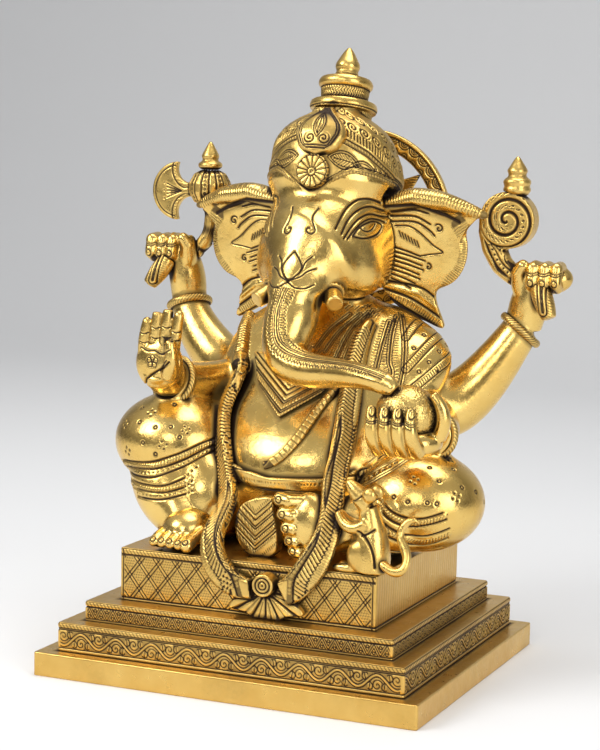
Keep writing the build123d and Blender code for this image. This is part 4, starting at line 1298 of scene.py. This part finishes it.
def shape_right_foot(block, solid):
    """A flat foot with five toes side by side."""
    axes = block.axes()
    field = smooth_min(solid, ellipsoid_field(axes, (-40, -35, 70), (12.5, 15, 9.5)), 3.0)
    for i, r in enumerate((2.6, 2.6, 2.6, 2.6, 3.3)):
        x = -49.5 + 4.7 * i
        bones = (x + 1, -43, 68.5), (x, -50.5, 66.4), (x - 0.2, -54 - 0.6 * i, 64.6)
        field = np.minimum(field, chain_field(axes, bones, (r + 0.3, r, r)))
    return kept(field)


def chase_toes(marks, tips, size):
    """A nail at the tip of each toe."""
    for tip in tips:
        marks.line(closest(marks.points, [tip]) - size, 0.45, 0.35)


def chase_blessing_hand(marks):
    """Palm creases, a small flower in the palm and finger joints."""
    marks.flatten()
    front = marks.faces(-0.05)
    for width, depth, stations in PALM_LINES:
        marks.trace(stations, width, depth, 0.9, front)
    for turn in (0.3 + 2 * pi * petal / 5 for petal in range(5)):
        away, _ = marks.disc((PALM[0] + 1.9 * cos(turn), 0, PALM[2] + 1.9 * sin(turn)))
        marks.line(away - 1.25, 0.42, 0.3, front)
    marks.press(ease(1 - marks.disc(PALM)[0] / 0.8) * front, 0.3, 0.8)


def chase_offering_hand(marks):
    """Nails and joint creases at the finger tips."""
    for i in range(4):
        away = marks.points - np.array((61.5 + 6.4 * i, -53, 136))
        u, v = away[:, 0], away[:, 2]
        close = marks.faces(-0.1) * (np.linalg.norm(away, axis=1) < 9)
        marks.line(np.hypot(u / 0.75, (v - 0.2) / 1.15) - 1.9, 0.5, 0.35, close * (v < 2.4))
        marks.lines(v - 0.12 * u * u, (-4.4, -5.4), 0.42, 0.3, close * (np.abs(u) < 2.6))


# Attributes, sweet and mouse -----------------------------------------------------------------------
NOOSE_STRAP = [(75, 62, 222), (76.5, 62, 214), (79, 62, 206), (83.5, 62, 198), (90.5, 61.5, 192)]
MOUSE_LINES = (
    (0.9, 0.8, 1.0, (
        (57, -57.5, 80.5), (60.5, -58, 78.5), (63.5, -58.7, 75), (65.5, -58.7, 70), (66.1, -58.4, 64.7),
    )),
    (0.8, 0.7, 1.0, ((58.5, -57.9, 79), (61.5, -57.7, 79.8), (64.8, -56.2, 82))),
    (0.6, 0.5, 0.9, ((52, -55.5, 93.5), (55, -56, 94.8), (58, -55.5, 97))),
)
MOUSE_EYE = (54.6, -55.2, 100.2)


def chase_blade(marks):
    """A nicked border inside the blade's edge, three punches and a fan of lines."""
    face, x, up = marks.faces(0.4, True), marks.x - marks.low[0], marks.z - marks.middle[2]
    back = marks.x - marks.high[0]
    for level in (-4.2, 0, 4.2):
        marks.press(ease(1 - np.hypot(x - 7.2, up - level) / 0.95) * face, 0.4, 0.8)
    for slope in (-0.42, -0.21, 0, 0.21, 0.42):
        marks.line(up - slope * (back + 6), 0.5, 0.4, face * within(x - 8.8, 0, 8.5, 0.5))
    marks.line(np.hypot(x - 15.6, up) - 13.6, 0.55, 0.35, face * (x < 14))
    for rise in (-up, up):
        horn, half = np.hypot(back + 1.5, rise - 11.5), face * (rise > 1.2)
        marks.line(horn - 10.3, 0.55, 0.45, half)
        marks.hatch(rise + marks.x * 0.3, half * within(horn, 8.2, 9.8, 0.3), 1.4, 0.45, 0.3, 0.5)


def chase_bulb(marks):
    """Melon ribs, every other one beaded."""
    radius, rib = 11.2, 2 * pi / 16
    x, y, z = marks.x - marks.middle[0], marks.y - marks.middle[1], marks.z - marks.low[2] - radius
    turn, away, level = np.arctan2(y, x), np.hypot(x, y), np.abs(z) < 9.2
    marks.line(wave(turn, rib) * away, 0.7, 0.6, level)
    dot = np.hypot(wave(turn + rib / 2, rib) * away, wave(z, 2.2))
    marks.line(dot - 0.55, 0.4, 0.3, (np.floor(turn / rib) % 2 == 0) * level)


def chase_shaft(marks):
    """Grooves that run along the shaft."""
    _, run, side = marks.follow(spine(marks.node), 16)
    marks.lines(side, (-2.0, 0, 2.0), 0.6, 0.6)
    marks.hatch(run, within(np.abs(side), 2.7, 4.4, 0.3), 1.5, 0.4, 0.3, 0.55)


def chase_tongue(marks):
    """Grooves that repeat a tongue's rounded end."""
    marks.flatten()
    ends = spine(marks.node)
    start, stop = ends[0], ends[-1]
    start = start + (stop - start) / np.linalg.norm(stop - start) * 3.0
    step = (stop - start) * (1, 0, 1)
    away = marks.flat - start * (1, 0, 1)
    share = np.clip(away @ step / (step @ step), 0, 1.6)
    away = np.linalg.norm(away - share[:, None] * step, axis=1)
    face = marks.faces(-0.1)
    marks.lines(away, (0.4, 2.3), 0.6, 0.6, face)
    marks.hatch(marks.z + 0.4 * marks.x, within(away, 2.8, 5, 0.2) * face, 1.3, 0.4, 0.25, 0.45)


def shape_noose(block, solid):
    """A broad flat strap that leaves the coil on its outer side."""
    axes = block.axes()
    strap = chain_field(axes, NOOSE_STRAP, (4.2, 5.6, 6.0, 5.6, 4.6))
    return kept(smooth_min(solid, np.maximum(strap, np.abs(axes[1] - 61.7) - 4.2), 1.2))


def chase_noose(marks):
    """A coil: a spiral channel with a row of small rings along its band, and a grooved strap."""
    radius, angle = marks.disc(marks.high - 14.2)
    face, pitch = marks.faces(0.35, True), 6.4
    phase = (radius / pitch + angle / (2 * pi) + 0.12) % 1
    disc = face * ease((14.0 - radius) / 0.5 + 1)
    marks.line((phase - np.round(phase)) * pitch, 1.15, 1.1, disc, 1.0)
    ring = np.hypot((phase - 0.5) * pitch, wave(angle * radius, 3.1))
    marks.line(ring - 0.5, 0.42, 0.3, disc * (radius > 4))
    away, run, side = marks.follow(NOOSE_STRAP, 9)
    strap = face * (radius > 14.2) * (away < 6)
    marks.lines(side, (-3.4, -1.1, 1.3, 3.6), 0.65, 0.7, strap)
    marks.line(np.hypot(wave(run, 2.9), side - 0.1) - 0.1, 0.7, 0.35, strap)
    marks.hatch(run, within(np.abs(side), 3.9, 6, 0.2) * strap, 1.4, 0.4, 0.3, 0.5)


def chase_sweet(marks):
    """A ball of small grains."""
    u, v, w = marks.points.T
    grain = np.sin(u * 4.1 + np.sin(v * 3.3) * 1.3) * np.sin(v * 4.3 + np.sin(w * 3.1))
    grain *= np.sin(w * 4.2 + np.sin(u * 3.7) * 1.2)
    grain += 0.5 * np.sin(u * 6.7 + v * 2.1) * np.sin(w * 6.1 - v * 1.7)
    marks.raise_(np.clip(grain, 0, 1), 0.45)
    marks.stain = np.clip(0.25 - 1.3 * grain, 0, 0.6) - 0.4


def chase_mouse(marks):
    """Mouth, arm and ear lines, an eye and a faint fur."""
    for width, depth, stain, stations in MOUSE_LINES:
        marks.trace(stations, width, depth, stain)
    marks.press(ease(1 - closest(marks.points, [MOUSE_EYE])), 0.4, 0.9)
    fur = np.sin(marks.x * 3.1 + marks.z * 1.2) * np.sin(marks.z * 2.3 - marks.x)
    marks.press(np.clip(fur - 0.6, 0, 1), 0.12, 0.25)


# Pieces --------------------------------------------------------------------------------------------
SHAPERS = {
    "left_ear": (shape_ear, 1),
    "right_ear": (shape_ear, -1),
    "rear_left_hand": (shape_fist, 1),
    "rear_right_hand": (shape_fist, -1),
    "noose_coil": (shape_noose,),
    "crown_leaf": (shape_crown_leaf,),
    "left_foot": (shape_left_foot,),
    "right_foot": (shape_right_foot,),
    "crown_cap": (shape_crown_cap,),
    "head": (shape_head,),
    "torso": (shape_torso,),
}
SHAPERS.update({node: (shape_limb,) for node in BODY if node.endswith(("_leg", "_arm"))})
RELIEFS = {
    "crown_cap": (chase_crown_cap,),
    "crown_lower_drum": (chase_drum, 37.5, 43.0, 1.9),
    "crown_upper_drum": (chase_drum, 47.5, 53.5, 1.6),
    "crown_boss": (chase_crown_boss,),
    "crown_leaf": (chase_crown_leaf,),
    "halo_ring": (chase_halo_ring,),
    "halo_star": (chase_halo_star,),
    "head": (chase_head,),
    "torso": (chase_torso,),
    "left_leg": (chase_leg, *LEFT_HEM),
    "right_leg": (chase_leg, *RIGHT_HEM),
    "left_foot": (chase_toes, [(13.5 + 1.8 * i, -50, z + 0.6) for i, z in enumerate(LEFT_TOES)], 1.7),
    "right_foot": (chase_toes, [(-49.7 + 4.7 * i, -55.8 - 0.6 * i, 66.4) for i in range(5)], 1.5),
    "rear_left_hand": (chase_fist, 1),
    "rear_right_hand": (chase_fist, -1),
    "blessing_hand": (chase_blessing_hand,),
    "offering_hand": (chase_offering_hand,),
    "left_sash": (chase_sash, 1),
    "right_sash": (chase_sash, -1),
    "sash_rosette": (chase_rosette,),
    "sash_bow": (chase_bow,),
    "necklace": (chase_necklace,),
    "waist_belt": (chase_belt,),
    "sacred_thread": (chase_thread,),
    "front_apron": (chase_apron,),
    "sweet": (chase_sweet,),
    "mouse": (chase_mouse,),
    "axe_blade": (chase_blade,),
    "axe_bulb": (chase_bulb,),
    "axe_shaft": (chase_shaft,),
    "noose_coil": (chase_noose,),
}
PAIRED = {"_ear": chase_ear, "_tusk": chase_tusk, "_butt": chase_tongue, "_bangle": chase_bangle}
for ending, chase in PAIRED.items():
    RELIEFS.update({node: (chase,) for node in BOXES if node.endswith(ending)})

for node, chase in zip(TIERS, (chase_slab, chase_vine, chase_zigzag, chase_lattice)):
    tier(node, chase)
for node in sorted(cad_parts):
    if node in FIXINGS:
        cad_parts[node].material_slots[0].material = METALS[STEEL]
    elif node in BODY:
        cast(node, FINE, 2 if node.endswith(("hand", "foot", "ear")) else 4, BRASS)
    elif node not in TIERS:
        cast(node, FINE if node in RELIEFS else MEDIUM, 2, CHASED)


# Floor, light and camera ---------------------------------------------------------------------------
scene = bpy.context.scene
ground = bpy.data.materials.new("pale_ground")
ground.use_nodes = True
mottle = shade(ground.node_tree, "TexNoise", {"Scale": 6}).outputs["Fac"]
tones = [(place, (tone, tone, tone, 1)) for place, tone in ((0, 0.788), (1, 0.80))]
shader = ground.node_tree.nodes["Principled BSDF"].inputs
feed(ground.node_tree, shader["Base Color"], colour_ramp(ground.node_tree, mottle, tones))
shader["Roughness"].default_value = 0.85

COVE = 0.7  # radius of the bend where the floor turns up into the backdrop
bends = [(1.1 + COVE * sin(radians(a)), COVE - COVE * cos(radians(a))) for a in range(10, 91, 10)]
sweep = [(-3.0, 0.0), (1.1, 0.0), *bends, (1.8, 4.0)]
floor_mesh = bpy.data.meshes.new("floor")
corners = [(x, y, z) for y, z in sweep for x in (-4.0, 4.0)]
floor_mesh.from_pydata(corners, [], [(2 * i, 2 * i + 1, 2 * i + 3, 2 * i + 2) for i in range(len(sweep) - 1)])
floor_mesh.shade_smooth()
floor_mesh.materials.append(ground)
floor = bpy.data.objects.new("floor", floor_mesh)
scene.collection.objects.link(floor)

CENTRE = Vector((0.0, 0.0, 0.15))
for name, place, size, power in (
    ("key_box", (-0.75, -0.85, 0.95), (0.7, 0.7), 16),
    ("fill_box", (1.25, -0.75, 0.45), (0.8, 1.0), 12),
    ("top_box", (0.1, 0.15, 1.35), (0.9, 0.7), 12),
    ("front_box", (0.15, -1.6, 0.75), (0.5, 0.5), 6),
):
    data = bpy.data.lights.new(name, "AREA")
    data.shape, data.energy = "RECTANGLE", power
    data.size, data.size_y = size
    lamp = bpy.data.objects.new(name, data)
    lamp.location = place
    lamp.rotation_euler = (CENTRE - Vector(place)).to_track_quat("-Z", "Y").to_euler()
    scene.collection.objects.link(lamp)

world = bpy.data.worlds.new("studio")
world.use_nodes = True
scene.world = world
tree = world.node_tree
split = shade(tree, "SeparateXYZ", {"Vector": shade(tree, "TexCoord", {}).outputs["Generated"]})
level = shade(tree, "MapRange", {"Value": split.outputs["Z"], "From Min": -1.0}).outputs["Result"]
sky = colour_ramp(tree, level, ((0.42, (0.035, 0.03, 0.028, 1)), (0.85, (0.85, 0.86, 0.88, 1))))
feed(tree, tree.nodes["Background"].inputs["Color"], sky)
tree.nodes["Background"].inputs["Strength"].default_value = 0.8

# The camera that took the photograph, solved from the plinth's edges
AZIMUTH, ELEVATION, ROLL = radians(23.38), radians(6.69), radians(1.18)
DISTANCE, AIM = 976.3, np.array([2.78, 0.0, 148.9])
back = np.array([sin(AZIMUTH) * cos(ELEVATION), -cos(AZIMUTH) * cos(ELEVATION), sin(ELEVATION)])
right = np.array([cos(AZIMUTH), sin(AZIMUTH), 0.0])
up = np.cross(back, right)
lens = bpy.data.cameras.new("main_view")
lens.sensor_fit, lens.sensor_width, lens.sensor_height = "VERTICAL", 28.8, 36.0
lens.lens, lens.shift_x, lens.shift_y = 95.58, -0.0034, -0.0157
lens.clip_end = 50
camera = bpy.data.objects.new("main_view", lens)
place = np.eye(4)
place[:3, 0] = right * cos(ROLL) + up * sin(ROLL)
place[:3, 1] = up * cos(ROLL) - right * sin(ROLL)
place[:3, 2] = back
place[:3, 3] = (AIM + back * DISTANCE) * MM
camera.matrix_world = Matrix(place.tolist())
scene.collection.objects.link(camera)
scene.camera = camera
scene.view_settings.view_transform = "Standard"
scene.view_settings.exposure = -0.5
